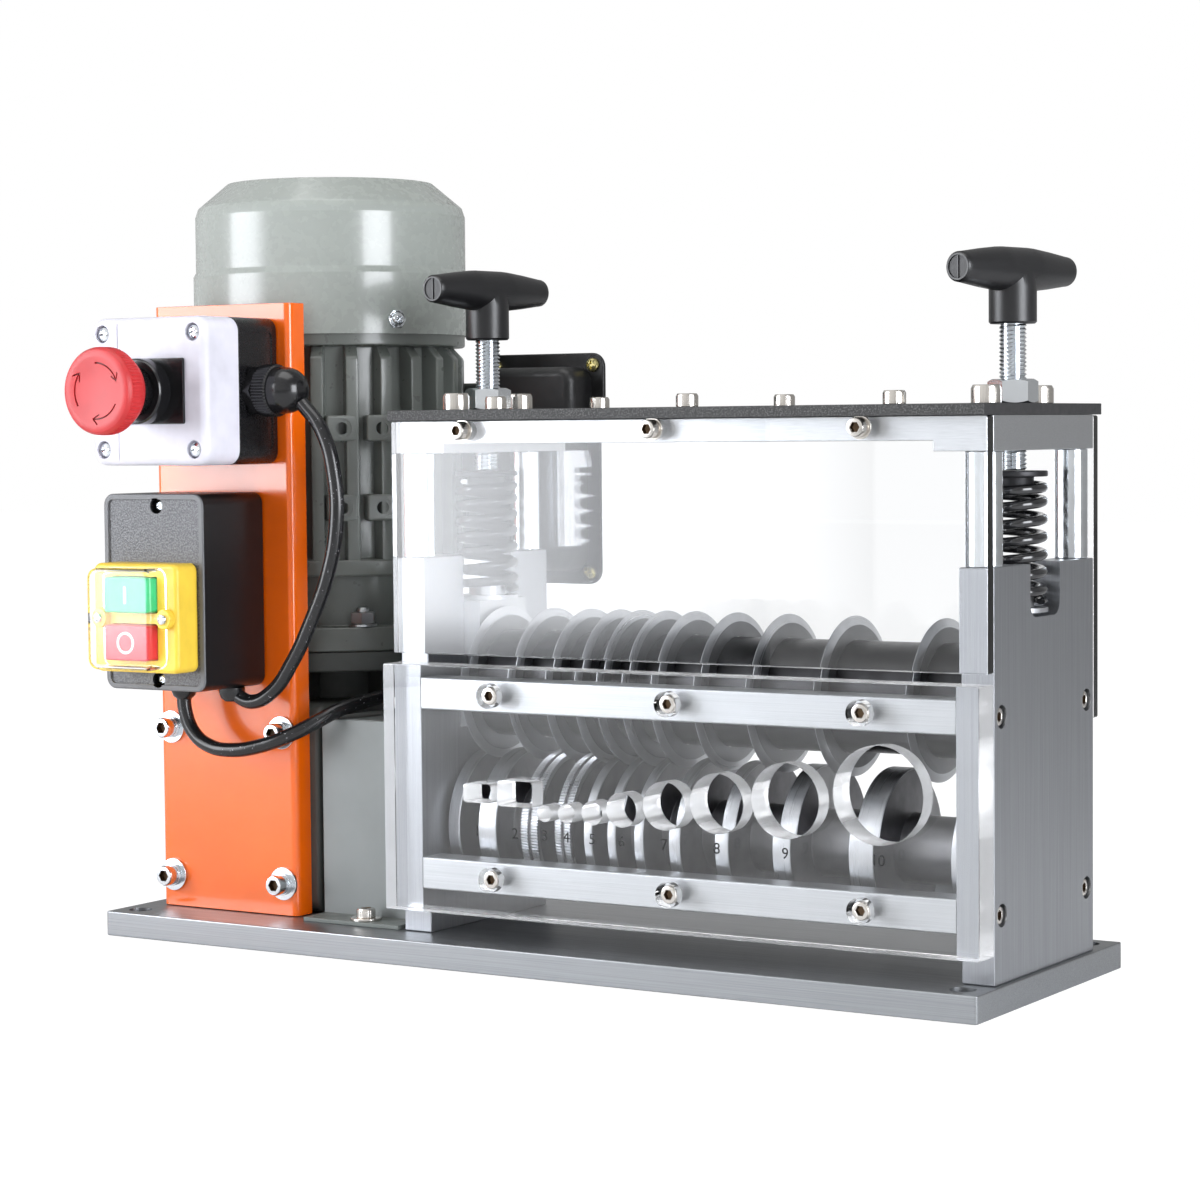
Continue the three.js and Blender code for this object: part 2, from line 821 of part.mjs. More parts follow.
function barProfile(half, endRadius, middleRadius) {
  const firstHalf = barLengthShares.map((share, i) => [
    endRadius + (middleRadius - endRadius) * barRadiusShares[i],
    -half * share,
  ]);
  const secondHalf = firstHalf.map(([radius, place]) => [radius, -place]).reverse();
  return [...firstHalf, ...secondHalf];
}

function pressureScrew(side) {
  const ends = [springTop + capThickness + gap, handleBottom(side) + handleSocketDepth - gap];
  return cylinder(screwDiameter, "z", [innerX[side], shaftY, 0], ends);
}

// Blade shaft: drum between the bearing blocks, a thrust shoulder and a journal at each end
const journalReach = pocketDepth - 2 * gap;

function bladeShaft() {
  const journal = bladeJournalDiameter / 2;
  const shoulder = thrustShoulderDiameter / 2;
  const drum = drumDiameter / 2;
  const leftBlockFace = innerX.left + blockInboard;
  const rightBlockFace = innerX.right - blockInboard;
  const discHalf = bladeThickness / 2;
  const rightDrumEnd = rightBlockFace - thrustShoulderLength;
  return turned(
    [
      [0, innerX.left - journalReach],
      [journal, innerX.left - journalReach],
      [journal, leftBlockFace + gap],
      [shoulder, leftBlockFace + gap],
      [shoulder, endDiscX - discHalf],
      [bladeDiameter / 2 - bladeBevel, endDiscX - discHalf],
      [bladeDiameter / 2, endDiscX],
      [bladeDiameter / 2 - bladeBevel, endDiscX + discHalf],
      [drum, endDiscX + discHalf],
      [drum, rightDrumEnd],
      [shoulder, rightDrumEnd],
      [shoulder, rightBlockFace - gap],
      [journal, rightBlockFace - gap],
      [journal, innerX.right + journalReach],
      [0, innerX.right + journalReach],
    ],
    "x",
    [0, shaftY, bladeZ],
  );
}

function blade(place) {
  const bore = drumDiameter / 2 + gap;
  const rim = bladeDiameter / 2;
  const half = bladeThickness / 2;
  return turned(
    [
      [bore, place - half],
      [rim - bladeBevel, place - half],
      [rim, place],
      [rim - bladeBevel, place + half],
      [bore, place + half],
      [bore, place - half],
    ],
    "x",
    [0, shaftY, bladeZ],
  );
}

// Feed shaft: stepped core with a wheel on each side of every blade's groove
const wheelPlaces = wheelWidths.map((_, i) => {
  const before = i === 0 ? endDiscX : bladePlaces[i - 1];
  return (before + bladePlaces[i]) / 2;
});
const leftWheelFace = innerX.left + endWheelInsets.left;
const rightWheelFace = innerX.right - endWheelInsets.right;
const wheelSpans = [
  [leftWheelFace, leftWheelFace + endWheelWidth],
  ...wheelPlaces.map((place, i) => about(place, wheelWidths[i])),
  [rightWheelFace - endWheelWidth, rightWheelFace],
];
// The groove floors from left to right, with the one beside the left end wheel first
const grooveRadii = [rootDiameters.at(-1), ...rootDiameters].map((diameter) => diameter / 2);
const feedLeftEnd = -motorOffset + reducerWidth / 2 - outputBoreDepth + gap;

function feedShaft() {
  const journal = feedJournalDiameter / 2;
  const rim = wheelDiameter / 2;
  const profile = [
    [0, feedLeftEnd],
    [journal, feedLeftEnd],
  ];
  wheelSpans.forEach(([from, to], i) => {
    const toothed = toothedWheels.includes(i - 1);
    const radius = toothed ? rim - toothGroove : rim;
    const before = i === 0 ? journal : grooveRadii[i - 1];
    const after = i === wheelSpans.length - 1 ? journal : grooveRadii[i];
    profile.push([before, from], [radius, from], [radius, to], [after, to]);
  });
  profile.push([journal, innerX.right + feedBoreDepth - gap]);
  profile.push([0, innerX.right + feedBoreDepth - gap]);
  const shaft = turned(profile, "x", [0, shaftY, feedZ]);
  return join(shaft, ...toothedWheels.flatMap((i) => toothedRims(wheelSpans[i + 1])));
}

// Two toothed rims on one wheel, a groove apart
function toothedRims([from, to]) {
  const rimWidth = (to - from - toothGroove) / 2;
  const outline = ring([shaftY, feedZ], wheelDiameter / 2, 2 * toothCount).map((point, i) => {
    const depth = i % 2 ? toothDepth : 0;
    const scale = 1 - depth / (wheelDiameter / 2);
    return new THREE.Vector2(
      shaftY + (point.x - shaftY) * scale,
      feedZ + (point.y - feedZ) * scale,
    );
  });
  const bore = ring([shaftY, feedZ], wheelDiameter / 2 - 2 * toothGroove, mediumSides);
  return [
    [from, from + rimWidth],
    [to - rimWidth, to],
  ].map((span) => swept(shapeOf(outline, bore), "x", span));
}

// Heights of the bolts that hold the controls' bracket to the reducer
const bracketBoltHeights = [
  baseTop + bracketBoltRise,
  baseTop + bracketBoltRise + bracketBoltSpanZ,
];

// Worm gear reducer: box, worm barrel, motor flange, output boss and bosses for the bracket
function gearReducer() {
  const x = about(motorX, reducerWidth);
  const front = shaftY - reducerFront;
  const bottom = baseTop + seam;
  const top = baseTop + reducerHeight;
  const housing = swept(
    shapeOf(roundedPoints([front, shaftY + reducerBack], [bottom, top], reducerCorner)),
    "x",
    x,
    reducerEdge,
  );
  const barrelTop = flangeBottom + sharedEdge;
  const axis = [motorX, motorY, 0];
  const barrel = cylinder(reducerBarrelDiameter, "z", axis, [bottom, barrelTop], fineSides);
  const flange = cylinder(flangeDiameter, "z", axis, [flangeBottom, flangeTop - seam], fineSides);
  const boss = cylinder(
    outputBossDiameter,
    "x",
    [0, shaftY, feedZ],
    [x[1] - reducerEdge, x[1] + outputBossHeight],
    fineSides,
  );
  const bosses = [-1, 1].flatMap((side) =>
    bracketBoltHeights.map((z) => {
      const centre = [bracketX + (side * bracketBoltSpanX) / 2, 0, z];
      const ends = [bracketY + bracketSheet + seam, front + reducerCorner];
      return cylinder(bracketBossDiameter, "y", centre, ends, smallSides);
    }),
  );
  const boreEnds = [x[1] - outputBoreDepth, x[1] + outputBossHeight + overrun];
  const bore = cylinder(feedJournalDiameter + 2 * gap, "x", [0, shaftY, feedZ], boreEnds);
  return cut(join(housing, barrel, flange, boss, ...bosses), bore);
}

// Motor frame: flange, end shield, finned core, bolt lugs, upper bell and the terminal box's arm
function motorFrame() {
  const axis = [motorX, motorY, 0];
  const rimBottom = finsBottom - shieldRimHeight;
  const motorFlangeTop = flangeTop + motorFlangeThickness;
  const core = turned(
    [
      [0, flangeTop],
      [flangeDiameter / 2, flangeTop],
      [flangeDiameter / 2, motorFlangeTop],
      [shieldNeckDiameter / 2, motorFlangeTop],
      [shieldNeckDiameter / 2, rimBottom],
      [shieldRimDiameter / 2, rimBottom],
      [shieldRimDiameter / 2, finsBottom],
      [coreDiameter / 2, finsBottom],
      [coreDiameter / 2, finsTop],
      [bellDiameter / 2, finsTop],
      [bellDiameter / 2, finsTop + bellHeight],
      [0, finsTop + bellHeight],
    ],
    "z",
    axis,
  );
  const boreEnds = [finsTop + bellHeight - rotorBoreDepth, finsTop + bellHeight + overrun];
  const bore = cylinder(rotorShaftDiameter + 2 * runningGap, "z", axis, boreEnds, fineSides);
  const lugs = Array.from({ length: lugQuarters }, (_, i) => lugBearing * degree + i * quarter);
  const lugForms = lugs.flatMap((angle) => lugRises.map((rise) => lugPair(angle, rise)));
  const fins = Array.from({ length: finCount }, (_, i) => fin((i / finCount) * 2 * Math.PI));
  return cut(join(core, ...fins, ...lugForms, terminalArm()), bore);
}

// One upright fin on the core, with its upper outer corner cut away
function fin(angle) {
  const root = coreDiameter / 2 - 2 * sharedEdge;
  const tip = finDiameter / 2;
  const bottom = finsBottom - sharedEdge;
  const outline = shapeOf([
    new THREE.Vector2(root, bottom),
    new THREE.Vector2(tip, bottom),
    new THREE.Vector2(tip, finsTop - finChamfer),
    new THREE.Vector2(tip - finChamfer, finsTop),
    new THREE.Vector2(root, finsTop),
  ]);
  return swept(outline, "y", about(0, finWidth)).rotateZ(angle).translate(motorX, motorY, 0);
}

// Two lugs side by side on one flat, each with a blind hole
function lugPair(angle, rise) {
  const height = [finsBottom + rise, finsBottom + rise + lugHeight];
  const lugs = [-1, 1].map((side) => {
    const across = about((side * lugSpacing) / 2, lugWidth);
    const body = block([coreDiameter / 2 - lugWidth, lugReach], across, height);
    const centre = [0, (side * lugSpacing) / 2, (height[0] + height[1]) / 2];
    const ends = [lugReach - lugHoleDepth, lugReach + overrun];
    return cut(body, cylinder(lugHoleDiameter, "x", centre, ends, holeSides));
  });
  const pair = geometryOf(join(...lugs));
  return pair.rotateZ(angle).translate(motorX, motorY, 0);
}

// Terminal box: a flat seat plate at the back and a domed cover in front of it
const terminalX = [-terminalRight - terminalWidth, -terminalRight];
const terminalZ = [baseTop + terminalRise, baseTop + terminalRise + terminalHeight];
const terminalBackY = motorY + terminalBack;

function terminalArm() {
  const reach = [motorX, terminalX[1] - 2 * terminalRim];
  const depth = [terminalBackY + seam, terminalBackY + seam + armThickness];
  const height = [terminalZ[0] + 2 * terminalRim, terminalZ[1] - 2 * terminalRim];
  return block(reach, depth, [Math.max(height[0], finsBottom), height[1]]);
}

function terminalBox() {
  const plate = swept(
    shapeOf(roundedPoints(terminalX, terminalZ, terminalCorner)),
    "y",
    [terminalBackY - terminalPlate, terminalBackY],
  );
  const domeX = [terminalX[0] + terminalRim, terminalX[1] - terminalRim];
  const domeZ = [terminalZ[0] + terminalRim, terminalZ[1] - terminalRim];
  const dome = swept(
    shapeOf(roundedPoints(domeX, domeZ, terminalCorner)),
    "y",
    [terminalBackY - terminalPlate - terminalDepth, terminalBackY - sharedEdge],
    terminalEdge,
    2,
  );
  const domeBack = block(
    [domeX[0], domeX[1]],
    [terminalBackY - terminalPlate - sharedEdge, terminalBackY - sharedEdge],
    [domeZ[0] + terminalCorner, domeZ[1] - terminalCorner],
  );
  return join(plate, dome, domeBack);
}

// Fan cowl: open below, with radial slots in its top for the cooling air
const cowlBottom = finsTop + cowlLip;

function fanCowl() {
  const skirt = cowlSkirtDiameter / 2;
  const body = cowlDiameter / 2;
  const topRadius = cowlTopDiameter / 2;
  const bead = cowlBottom + cowlSkirtHeight;
  const shoulder = cowlBottom + cowlShoulderHeight;
  const top = cowlBottom + cowlHeight;
  const shell = turned(
    [
      [skirt - cowlWall, cowlBottom],
      [skirt, cowlBottom],
      [skirt, bead],
      [body, bead + cowlBeadHeight],
      [body, shoulder],
      [topRadius, top],
      [0, top],
      [0, top - cowlWall],
      [topRadius - cowlWall / 2, top - cowlWall],
      [body - cowlWall, shoulder - cowlWall / 2],
      [body - cowlWall, bead + cowlBeadHeight],
      [skirt - cowlWall, bead],
      [skirt - cowlWall, cowlBottom],
    ],
    "z",
    [motorX, motorY, 0],
    cowlSides,
  );
  const slots = Array.from({ length: grilleSlotCount }, (_, i) => {
    const slot = block(
      [grilleInnerDiameter / 2, grilleOuterDiameter / 2],
      about(0, grilleSlotWidth),
      [top - cowlWall - overrun, top + overrun],
    );
    return slot.rotateZ((i / grilleSlotCount) * 2 * Math.PI).translate(motorX, motorY, 0);
  });
  return cut(shell, ...slots);
}

// Fan on the end of the rotor's shaft
function motorFan() {
  const bellTop = finsTop + bellHeight;
  const fanBottom = bellTop + fanLift;
  const fanTop = fanBottom + fanHeight;
  const axis = [motorX, motorY, 0];
  const shaftEnds = [bellTop - rotorBoreDepth + gap, fanTop];
  const shaft = cylinder(rotorShaftDiameter, "z", axis, shaftEnds, fineSides);
  const hub = cylinder(fanHubDiameter, "z", axis, [fanBottom, fanTop - sharedEdge], mediumSides);
  const blades = Array.from({ length: fanBladeCount }, (_, i) => {
    const form = block(
      [fanHubDiameter / 2 - sharedEdge, fanDiameter / 2],
      about(0, fanBladeThickness),
      [fanBottom, fanTop],
    );
    return form.rotateZ((i / fanBladeCount) * 2 * Math.PI).translate(motorX, motorY, 0);
  });
  return join(shaft, hub, ...blades);
}

// Sheet guard: a front wall with a foot, a top and a rear wall
function reducerCover() {
  const x0 = headLeft - guardEndGap - guardWidth;
  const x = [x0, x0 + guardWidth];
  const front = shaftY - guardFront;
  const back = shaftY + guardBack;
  const bottom = baseTop + guardFloorGap;
  const top = baseTop + guardTop;
  const walls = shapeOf([
    new THREE.Vector2(front, bottom),
    new THREE.Vector2(front + guardSheet, bottom),
    new THREE.Vector2(front + guardSheet, top - guardSheet),
    new THREE.Vector2(back - guardSheet, top - guardSheet),
    new THREE.Vector2(back - guardSheet, bottom),
    new THREE.Vector2(back, bottom),
    new THREE.Vector2(back, top - brokenEdge),
    new THREE.Vector2(back - brokenEdge, top),
    new THREE.Vector2(front + brokenEdge, top),
    new THREE.Vector2(front, top - brokenEdge),
  ]);
  const guard = swept(walls, "x", x);
  const foot = block(
    [x[0], x[0] + guardFootWidth],
    [front - guardFoot, front + sharedEdge],
    [baseTop + seam, baseTop + seam + guardSheet],
  );
  return join(guard, foot);
}

// Folded bracket: a web with a flange down each side
function controlBracket() {
  const [left, right] = about(bracketX, bracketWidth);
  const front = bracketY;
  const back = bracketY + bracketFlange;
  const outer = bracketBend;
  const inner = bracketBend - bracketSheet + brokenEdge;
  const corner = (x, y, radius, start, sign) =>
    Array.from({ length: cornerSteps + 1 }, (_, i) => {
      const angle = start + (sign * i * quarter) / cornerSteps;
      return new THREE.Vector2(x + radius * Math.cos(angle), y + radius * Math.sin(angle));
    });
  const channel = shapeOf([
    new THREE.Vector2(left, back),
    ...corner(left + outer, front + outer, outer, 2 * quarter, 1),
    ...corner(right - outer, front + outer, outer, 3 * quarter, 1),
    new THREE.Vector2(right, back),
    new THREE.Vector2(right - bracketSheet, back),
    ...corner(
      right - bracketSheet - inner,
      front + bracketSheet + inner,
      inner,
      0,
      -1,
    ),
    ...corner(
      left + bracketSheet + inner,
      front + bracketSheet + inner,
      inner,
      3 * quarter,
      -1,
    ),
    new THREE.Vector2(left + bracketSheet, back),
  ]);
  return swept(channel, "z", [baseTop + gap, baseTop + gap + bracketHeight]);
}

// Emergency stop station: box, cover, legend plate with collar, stem and mushroom head
const stationCoverBack = stationBack - stationBoxDepth - seam;
const stationFront = stationCoverBack - stationCoverDepth;
const collarFront = stationFront - seam - legendThickness - collarHeight;
const mushroomFront = stationFront - mushroomProud;
const mushroomBack = mushroomFront + mushroomHeight;
const stationX = bracketX;

function stationBox() {
  const outline = roundedPoints(
    about(stationX, stationSize),
    about(stationZ, stationSize),
    stationCorner,
  );
  return swept(shapeOf(outline), "y", [stationCoverBack + seam, stationBack], brokenEdge);
}

function stationCover() {
  const outline = roundedPoints(
    about(stationX, stationSize),
    about(stationZ, stationSize),
    stationCorner,
  );
  const depth = [stationFront, stationCoverBack + 2 * stationCoverEdge];
  const lid = swept(shapeOf(outline), "y", depth, stationCoverEdge, 3);
  const behind = block(
    about(stationX, stationSize + 2 * overrun),
    [stationCoverBack, depth[1] + overrun],
    about(stationZ, stationSize + 2 * overrun),
  );
  return cut(lid, behind);
}

function stationCollar() {
  const legendOutline = roundedPoints(
    about(stationX, legendWidth),
    about(stationZ, legendHeight),
    2 * brokenEdge,
    1,
  );
  const legendBack = stationFront - seam;
  const legend = swept(shapeOf(legendOutline), "y", [legendBack - legendThickness, legendBack]);
  const collar = turned(
    [
      [0, collarFront],
      [collarDiameter / 2 - brokenEdge, collarFront],
      [collarDiameter / 2, collarFront + 2 * brokenEdge],
      [collarDiameter / 2, legendBack - sharedEdge],
      [0, legendBack - sharedEdge],
    ],
    "y",
    [stationX, 0, stationZ],
    mediumSides,
  );
  const socket = cylinder(
    stemDiameter + 2 * gap,
    "y",
    [stationX, 0, stationZ],
    [collarFront - overrun, collarFront + collarSocketDepth],
    fineSides,
  );
  return cut(join(legend, collar), socket);
}

function stationStem() {
  const back = collarFront + collarSocketDepth - gap - stopTravel;
  const front = mushroomBack - mushroomSocketDepth + gap;
  return cylinder(stemDiameter, "y", [stationX, 0, stationZ], [front, back], fineSides);
}

function mushroomHead() {
  const rim = mushroomDiameter / 2;
  const crown = turned(
    [
      [0, mushroomFront + mushroomDish],
      [rim - 3 * mushroomDish, mushroomFront],
      [rim - mushroomDish / 2, mushroomFront + mushroomDish],
      [rim, mushroomFront + 2 * mushroomDish],
      [rim, mushroomBack - 2 * mushroomDish],
      [rim - 2 * mushroomDish, mushroomBack],
      [0, mushroomBack],
    ],
    "y",
    [stationX, 0, stationZ],
  );
  const socket = cylinder(
    stemDiameter + 2 * gap,
    "y",
    [stationX, 0, stationZ],
    [mushroomBack - mushroomSocketDepth, mushroomBack + overrun],
    fineSides,
  );
  return cut(crown, socket);
}

// Cable gland: a ribbed nut and a dome with the lead's outlet
function stationGland() {
  const start = stationX + stationSize / 2 + seam;
  const nutEnd = start + glandNutLength;
  const axis = [0, stationBack - glandOffset, stationZ];
  const ribs = ring([axis[1], axis[2]], glandNutDiameter / 2, 2 * glandRibCount).map((point, i) => {
    const scale = 1 - ((i % 2) * glandRibDepth) / (glandNutDiameter / 2);
    return new THREE.Vector2(
      axis[1] + (point.x - axis[1]) * scale,
      axis[2] + (point.y - axis[2]) * scale,
    );
  });
  const radius = glandDomeDiameter / 2;
  const middle = nutEnd + glandDomeLift;
  const arc = Array.from({ length: 2 * cornerSteps }, (_, i) => {
    const angle = (i / (2 * cornerSteps)) * quarter;
    return [radius * Math.cos(angle), middle + radius * Math.sin(angle)];
  });
  const dome = turned(
    [[0, nutEnd - sharedEdge], [radius, nutEnd - sharedEdge], ...arc, [0, middle + radius]],
    "x",
    axis,
    mediumSides,
  );
  return join(swept(shapeOf(ribs), "x", [start, nutEnd]), dome);
}

// Switch box: rounded box with a recessed front, a bezel, two buttons and a clear cover
const bezelBack = switchFront + switchRecess - seam;
const bezelFront = switchFront - bezelDepth;
const buttonZ = { start: bezelZ + buttonSpacing / 2, stop: bezelZ - buttonSpacing / 2 };

function switchBox() {
  const z = [baseTop + switchRise, baseTop + switchRise + switchHeight];
  const x = about(switchX, switchWidth);
  const shell = swept(shapeOf(roundedPoints(x, z, switchCorner)), "y", [switchFront, switchBack]);
  const panel = roundedPoints(
    [x[0] + switchRim, x[1] - switchRim],
    [z[0] + switchRim, z[1] - switchRim],
    switchRim,
  );
  const recess = swept(
    shapeOf(panel),
    "y",
    [switchFront - overrun, switchFront + switchRecess],
  );
  return cut(shell, recess);
}

function switchBezel() {
  const outline = roundedPoints(about(switchX, bezelWidth), about(bezelZ, bezelHeight), bezelCorner);
  const windows = Object.values(buttonZ).map((z) =>
    roundedPoints(
      about(switchX, buttonWidth + 2 * buttonClearance),
      about(z, buttonHeight + 2 * buttonClearance),
      brokenEdge,
      1,
    ),
  );
  return swept(shapeOf(outline, ...windows), "y", [bezelFront, bezelBack]);
}

function pushButton(name) {
  const outline = roundedPoints(
    about(switchX, buttonWidth),
    about(buttonZ[name], buttonHeight),
    buttonEdge,
    1,
  );
  const front = bezelFront - buttonProud;
  return swept(shapeOf(outline), "y", [front, front + buttonLength], brokenEdge);
}

function clearButtonCover() {
  const outer = roundedPoints(about(switchX, clearWidth), about(bezelZ, clearHeight), clearCorner);
  const inner = roundedPoints(
    about(switchX, clearWidth - 2 * clearWall),
    about(bezelZ, clearHeight - 2 * clearWall),
    clearCorner - clearWall,
  );
  const back = bezelFront - seam;
  const front = bezelFront - clearDepth;
  const dome = swept(shapeOf(outer), "y", [front, back], brokenEdge);
  return cut(dome, swept(shapeOf(inner), "y", [front + clearWall, back + overrun]));
}

// A lead along its route
function lead(route) {
  const curve = new THREE.CatmullRomCurve3(route.map((point) => new THREE.Vector3(...point)));
  return new THREE.ExtrudeGeometry(shapeOf(ring([0, 0], leadDiameter / 2, leadSides)), {
    steps: Math.round(curve.getLength() / leadStep),
    extrudePath: curve,
    bevelEnabled: false,
  }).translate(0, shaftY - leadPlane, 0);
}

// Colours, roughness and metalness of the finishes
const finishes = {
  brushed: [0xc4c7ca, 0.42, 0.9],
  machined: [0xb4b8bc, 0.35, 0.9],
  steel: [0x9a9ea3, 0.3, 0.95],
  zinc: [0xcfd3d6, 0.25, 0.95],
  blackOxide: [0x1b1b1d, 0.45, 0.5],
  blackPlate: [0x222326, 0.5, 0.3],
  blackPlastic: [0x141416, 0.5, 0],
  glossBlack: [0x0e0e10, 0.15, 0],
  motorGrey: [0x6f7871, 0.4, 0.1],
  darkCast: [0x3c403e, 0.5, 0.3],
  guardGrey: [0x9aa39b, 0.45, 0.1],
  orange: [0xf4560f, 0.3, 0],
  paleCover: [0xe4e3ec, 0.4, 0],
  red: [0xc8161c, 0.35, 0],
  green: [0x2f9e48, 0.35, 0],
  yellow: [0xf3c515, 0.4, 0],
  rubber: [0x101012, 0.55, 0],
  clear: [0xf2f6f8, 0.05, 0],
};

const clearOpacity = 0.35;
const creaseAngle = 30 * degree;

function piece(name, form, finish) {
  const [color, roughness, metalness] = finishes[finish];
  const clear = finish === "clear";
  const material = new THREE.MeshStandardMaterial({
    color,
    roughness,
    metalness,
    transparent: clear,
    opacity: clear ? clearOpacity : 1,
  });
  const made = new THREE.Mesh(toCreasedNormals(geometryOf(form), creaseAngle), material);
  made.name = name;
  return made;
}

const sides = ["right", "left"];

function group(...pieces) {
  return new THREE.Group().add(...pieces);
}

const frame = group(
  piece("base_plate", basePlate(), "brushed"),
  ...sides.map((side) => piece("upright_" + side, upright(side), "brushed")),
  ...Object.keys(tieY).flatMap((depth) =>
    Object.keys(tieZ).map((height) =>
      piece(["tie_bar", depth, height].join("_"), tieBar(depth, height), "brushed"),
    ),
  ),
  ...sides.flatMap((side) =>
    ["front", "rear"].map((depth) =>
      piece(["guide_rod", side, depth].join("_"), guideRod(side, depth), "zinc"),
    ),
  ),
  piece("top_frame", topFrame(), "machined"),
  piece("top_plate", topPlate(), "blackPlate"),
  piece("guide_plate", guidePlate(), "clear"),
  piece("upper_cover", clearCover(upperCoverRise, upperCoverDepth), "clear"),
  piece("rear_cover", clearCover(rearCoverRise, rearCoverDepth), "clear"),
);

const cuttingHead = group(
  ...sides.map((side) => piece("bearing_block_" + side, bearingBlock(side), "machined")),
  piece("blade_shaft", bladeShaft(), "steel"),
  ...bladePlaces.map((place, i) =>
    piece("blade_" + String(i + 1).padStart(2, "0"), blade(place), "steel"),
  ),
);

const pressureGear = group(
  ...sides.flatMap((side) => [
    piece("pressure_spring_" + side, pressureSpring(side), "blackOxide"),
    piece("spring_cap_" + side, springCap(side), "blackOxide"),
    piece("pressure_screw_" + side, pressureScrew(side), "zinc"),
    piece("screw_nut_" + side, screwNut(side), "zinc"),
    piece("t_handle_" + side, tHandle(side), "blackPlastic"),
  ]),
);

const drive = group(
  piece("feed_shaft", feedShaft(), "steel"),
  piece("gear_reducer", gearReducer(), "darkCast"),
  piece("motor_frame", motorFrame(), "motorGrey"),
  piece("fan_cowl", fanCowl(), "motorGrey"),
  piece("motor_fan", motorFan(), "blackPlastic"),
  piece("terminal_box", terminalBox(), "glossBlack"),
  piece("reducer_cover", reducerCover(), "guardGrey"),
);

const controls = group(
  piece("control_bracket", controlBracket(), "orange"),
  piece("estop_box", stationBox(), "blackPlastic"),
  piece("estop_cover", stationCover(), "paleCover"),
  piece("estop_collar", stationCollar(), "blackPlastic"),
  piece("estop_stem", stationStem(), "blackPlastic"),
  piece("estop_head", mushroomHead(), "red"),
  piece("estop_gland", stationGland(), "glossBlack"),
  piece("switch_box", switchBox(), "blackPlastic"),
  piece("switch_bezel", switchBezel(), "yellow"),
  piece("start_button", pushButton("start"), "green"),
  piece("stop_button", pushButton("stop"), "red"),
  piece("switch_clear_cover", clearButtonCover(), "clear"),
  piece("estop_lead", lead(stopLeadRoute), "rubber"),
  piece("motor_lead", lead(motorLeadRoute), "rubber"),
);

console.log("Least gap between the turns of a spring: " + springSelfGap().toFixed(2) + " mm");

export default group(frame, cuttingHead, pressureGear, drive, controls);
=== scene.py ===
"""Looks of the wire stripping machine: its meshes, materials, light and camera.

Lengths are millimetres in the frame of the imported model, and a form's mesh is in metres.
"""

import json
import math

import bmesh
import bpy
from mathutils import Matrix, Vector

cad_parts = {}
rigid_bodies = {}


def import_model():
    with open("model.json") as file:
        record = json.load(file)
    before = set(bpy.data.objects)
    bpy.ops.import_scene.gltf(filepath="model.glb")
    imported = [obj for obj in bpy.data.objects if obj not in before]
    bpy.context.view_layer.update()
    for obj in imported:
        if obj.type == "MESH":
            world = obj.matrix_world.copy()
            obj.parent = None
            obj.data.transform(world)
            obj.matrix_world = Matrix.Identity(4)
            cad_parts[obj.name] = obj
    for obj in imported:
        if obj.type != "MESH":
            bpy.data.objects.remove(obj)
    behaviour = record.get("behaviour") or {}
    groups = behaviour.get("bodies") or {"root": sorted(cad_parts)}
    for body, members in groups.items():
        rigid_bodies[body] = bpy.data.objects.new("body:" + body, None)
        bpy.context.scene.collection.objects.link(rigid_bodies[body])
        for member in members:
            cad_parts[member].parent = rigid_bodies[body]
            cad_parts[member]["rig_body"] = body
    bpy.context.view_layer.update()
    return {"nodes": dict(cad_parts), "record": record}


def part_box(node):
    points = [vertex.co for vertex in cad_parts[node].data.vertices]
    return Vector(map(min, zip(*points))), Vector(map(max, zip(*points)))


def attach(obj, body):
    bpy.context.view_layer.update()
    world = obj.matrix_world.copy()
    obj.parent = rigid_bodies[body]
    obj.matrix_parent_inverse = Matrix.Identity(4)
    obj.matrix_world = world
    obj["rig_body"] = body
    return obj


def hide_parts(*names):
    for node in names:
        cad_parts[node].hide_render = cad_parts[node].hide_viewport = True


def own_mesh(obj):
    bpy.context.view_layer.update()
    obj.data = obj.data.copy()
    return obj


MM = 0.001
TINY = 1e-6
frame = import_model()
scene = bpy.context.scene
slot_of = {part["node"]: part["material_slot"] for part in frame["record"]["subparts"]}


def span(node):
    """The lowest and highest corner of a CAD node, in millimetres."""
    low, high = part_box(node)
    return low / MM, high / MM


def middle(node):
    low, high = span(node)
    return (low + high) / 2


def centred(place, width):
    """The two ends of a width about a place."""
    return place - width / 2, place + width / 2


def as_object(name, data):
    obj = bpy.data.objects.new(name, data)
    scene.collection.objects.link(obj)
    return obj


# Camera: fitted to the photograph's edges
CAMERA_PLACE = (769.69, -1224.99, 247.41)
CAMERA_YAW = 31.965
CAMERA_PITCH = 3.196
CAMERA_ROLL = -0.517
IMAGE_SIZE = 1200
FOCAL_PIXELS = 3075.1
SENSOR = 36
CLIP_METRES = 20

yaw, pitch, roll = (math.radians(a) for a in (CAMERA_YAW, CAMERA_PITCH, CAMERA_ROLL))
forward = Vector(
    (-math.sin(yaw) * math.cos(pitch), math.cos(yaw) * math.cos(pitch), -math.sin(pitch))
)
level = Vector((math.cos(yaw), math.sin(yaw), 0))
upward = level.cross(forward)
across = math.cos(roll) * level + math.sin(roll) * upward
above = math.cos(roll) * upward - math.sin(roll) * level
lens = bpy.data.cameras.new("camera")
lens.sensor_width = SENSOR
lens.lens = SENSOR * FOCAL_PIXELS / IMAGE_SIZE
lens.clip_end = CLIP_METRES
camera = as_object("camera", lens)
camera.matrix_world = Matrix.Translation(Vector(CAMERA_PLACE) * MM) @ (
    Matrix((across, above, -forward)).transposed().to_4x4()
)
scene.camera = camera


